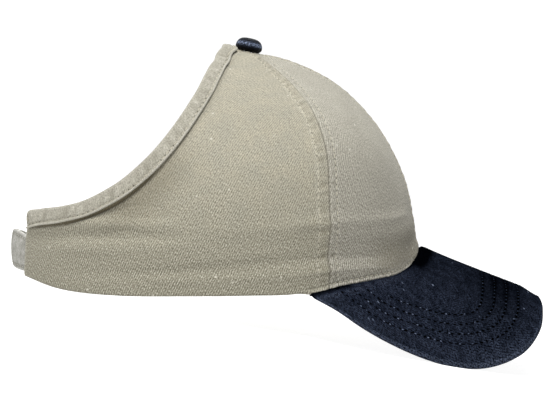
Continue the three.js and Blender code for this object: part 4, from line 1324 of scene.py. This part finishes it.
# %% Rows on the peak
def peak_row(distance, surface, sign):
    """A quilting row at a distance from the peak's edge."""
    points, out = [], []
    for gaps, line, way in zip(edge_distance[:, 3:], surface[:, 3:], peak_up[:, 0]):
        if gaps.max() >= distance + 0.3:
            points.append(at_distance(distance, gaps, line))
            out.append(sign * way)
    return np.array(points), np.array(out)


peak_rows = [peak_row(distance, surface, sign) for distance in PEAK_ROWS
             for surface, sign in ((top, 1), (under, -1))]
print("rows on the peak:", len(peak_rows))

# %% All the stitches
# name, rows, pitch, then material, length, width, height, lift and turn of a stitch and of a hole's painted
# shade
SEWN = [
    ("crown", crown_rows, STITCH_PITCH,
     (khaki_thread, 2.2, 0.5, 0.4, 0.0, 0.12), (needle_hole_shadow, 0.5, 0.5, 0.16, 0.0, 0.4)),
    ("binding", bind_rows, STITCH_PITCH,
     (khaki_thread, 2.1, 0.5, 0.4, 0.0, 0.12), (needle_hole_shadow, 0.55, 0.55, 0.16, 0.0, 0.4)),
    ("peak", peak_rows, PEAK_PITCH,
     (navy_thread, 0.9, 0.5, 0.4, 0.0, 0.15), (navy_hole_shadow, 2.0, 1.3, 0.28, 0.0, 0.4)),
    ("strap", strap_rows, STRAP_PITCH,
     (strap_thread, 1.9, 0.45, 0.36, -0.1, 0.10), (needle_hole_shadow, 0.5, 0.5, 0.16, -0.15, 0.4)),
]
seed = 3
for name, rows, pitch, stitch, hole in SEWN:
    kinds = ("stitches", 0.0, stitch), ("needle_holes", pitch / 2, hole)
    for kind, shift, (material, *sizes, turn) in kinds:
        sew(f"{name}_{kind}", rows, material, [pitch, *sizes, shift], turn, seed)
        seed += 1

# %% [markdown]
# ## Floor and light
# The cap stands on a plain white sweep. The sky is white near the horizon, so that floor and sky meet
# without a line, and a large soft light hangs above and a little to the left of the camera.

# %% Floor
FLOOR = 30.0
floor_mesh = bpy.data.meshes.new("studio_floor")
corners = [(-FLOOR, -FLOOR, 0), (FLOOR, -FLOOR, 0), (FLOOR, FLOOR, 0), (-FLOOR, FLOOR, 0)]
floor_mesh.from_pydata(corners, [], [(0, 1, 2, 3)])
floor = bpy.data.objects.new("studio_floor", floor_mesh)
scene.collection.objects.link(floor)
# uncoated paper, which takes light evenly and has no gloss; its own glow keeps shadows very pale
floor_paper, tree = blank_material("matt white studio paper")
paper = add_node(tree, "ShaderNodeBsdfPrincipled", {}, {
    "Base Color": colour("#a0a0a0"), "Roughness": 0.9, "Specular IOR Level": 0.1,
    "Emission Color": colour("#ffffff"), "Emission Strength": 0.92})[0]
add_node(tree, "ShaderNodeOutputMaterial", {}, (paper,))
floor_mesh.materials.append(floor_paper)
print("floor in metres:", 2 * FLOOR)

# %% Sky and lamps
world = bpy.data.worlds.new("white studio")
scene.world = world
world.use_nodes = True
sky = world.node_tree
sky.nodes.clear()
way = add_node(sky, "ShaderNodeTexCoord")["Generated"]
upward = add_node(sky, "ShaderNodeSeparateXYZ", {}, (way,))[2]
strength = add_node(sky, "ShaderNodeMapRange", EASED, (upward, 0.12, 0.4, 1.05, 0.2))[0]
glow = add_node(sky, "ShaderNodeBackground", {}, {"Color": colour("#ffffff"), "Strength": strength})[0]
add_node(sky, "ShaderNodeOutputWorld", {}, (glow,))
LAMP_AIM = Vector((0, 0, 0.06))
# name, place and width in metres, power in watts
LAMPS = [
    ("overhead softbox", (-0.1, -0.68, 1.2), 0.5, 22),
    ("far side softbox", (-0.1, 0.7, 1.15), 0.7, 10),
    ("back fill", (-1.0, -0.5, 0.5), 0.5, 3.5),
]
for name, place, size, power in LAMPS:
    lamp = bpy.data.lights.new(name, "AREA")
    lamp.shape = "DISK"
    lamp.size = size
    lamp.energy = power
    holder = bpy.data.objects.new(name, lamp)
    holder.location = place
    holder.rotation_euler = (LAMP_AIM - Vector(place)).to_track_quat("-Z", "Y").to_euler()
    scene.collection.objects.link(holder)
scene.view_settings.view_transform = "Standard"
print("lamps:", len(LAMPS))

# %% [markdown]
# ## Camera
# The picture was taken with a long lens, almost square on to the cap's side, with the cap level. The
# cap lies tilted back here, so the camera is turned with it and stands a little above the floor.

# %% Camera
AZIMUTH, ELEVATION, DISTANCE, LENS, SENSOR = 4.0, 0.5, 1100.0, 148.54, 36
AIM = np.array([33.5, 0.0, 40.7])
az, el = math.radians(AZIMUTH), math.radians(ELEVATION)
back = np.array([math.sin(az) * math.cos(el), -math.cos(az) * math.cos(el), math.sin(el)])
right = np.array([math.cos(az), math.sin(az), 0.0])
turned = [unit(at_rest(v) - at_rest(np.zeros(3))) for v in (right, np.cross(back, right), back)]
view_matrix = Matrix(np.array(turned).T.tolist()).to_4x4()
view_matrix.translation = Vector(at_rest(AIM + DISTANCE * back).tolist())
camera = bpy.data.objects.new("camera", bpy.data.cameras.new("camera"))
camera.data.sensor_width = SENSOR
camera.data.lens = LENS
camera.matrix_world = view_matrix
scene.collection.objects.link(camera)
scene.camera = camera
print("camera stands at", [round(v, 3) for v in view_matrix.translation])
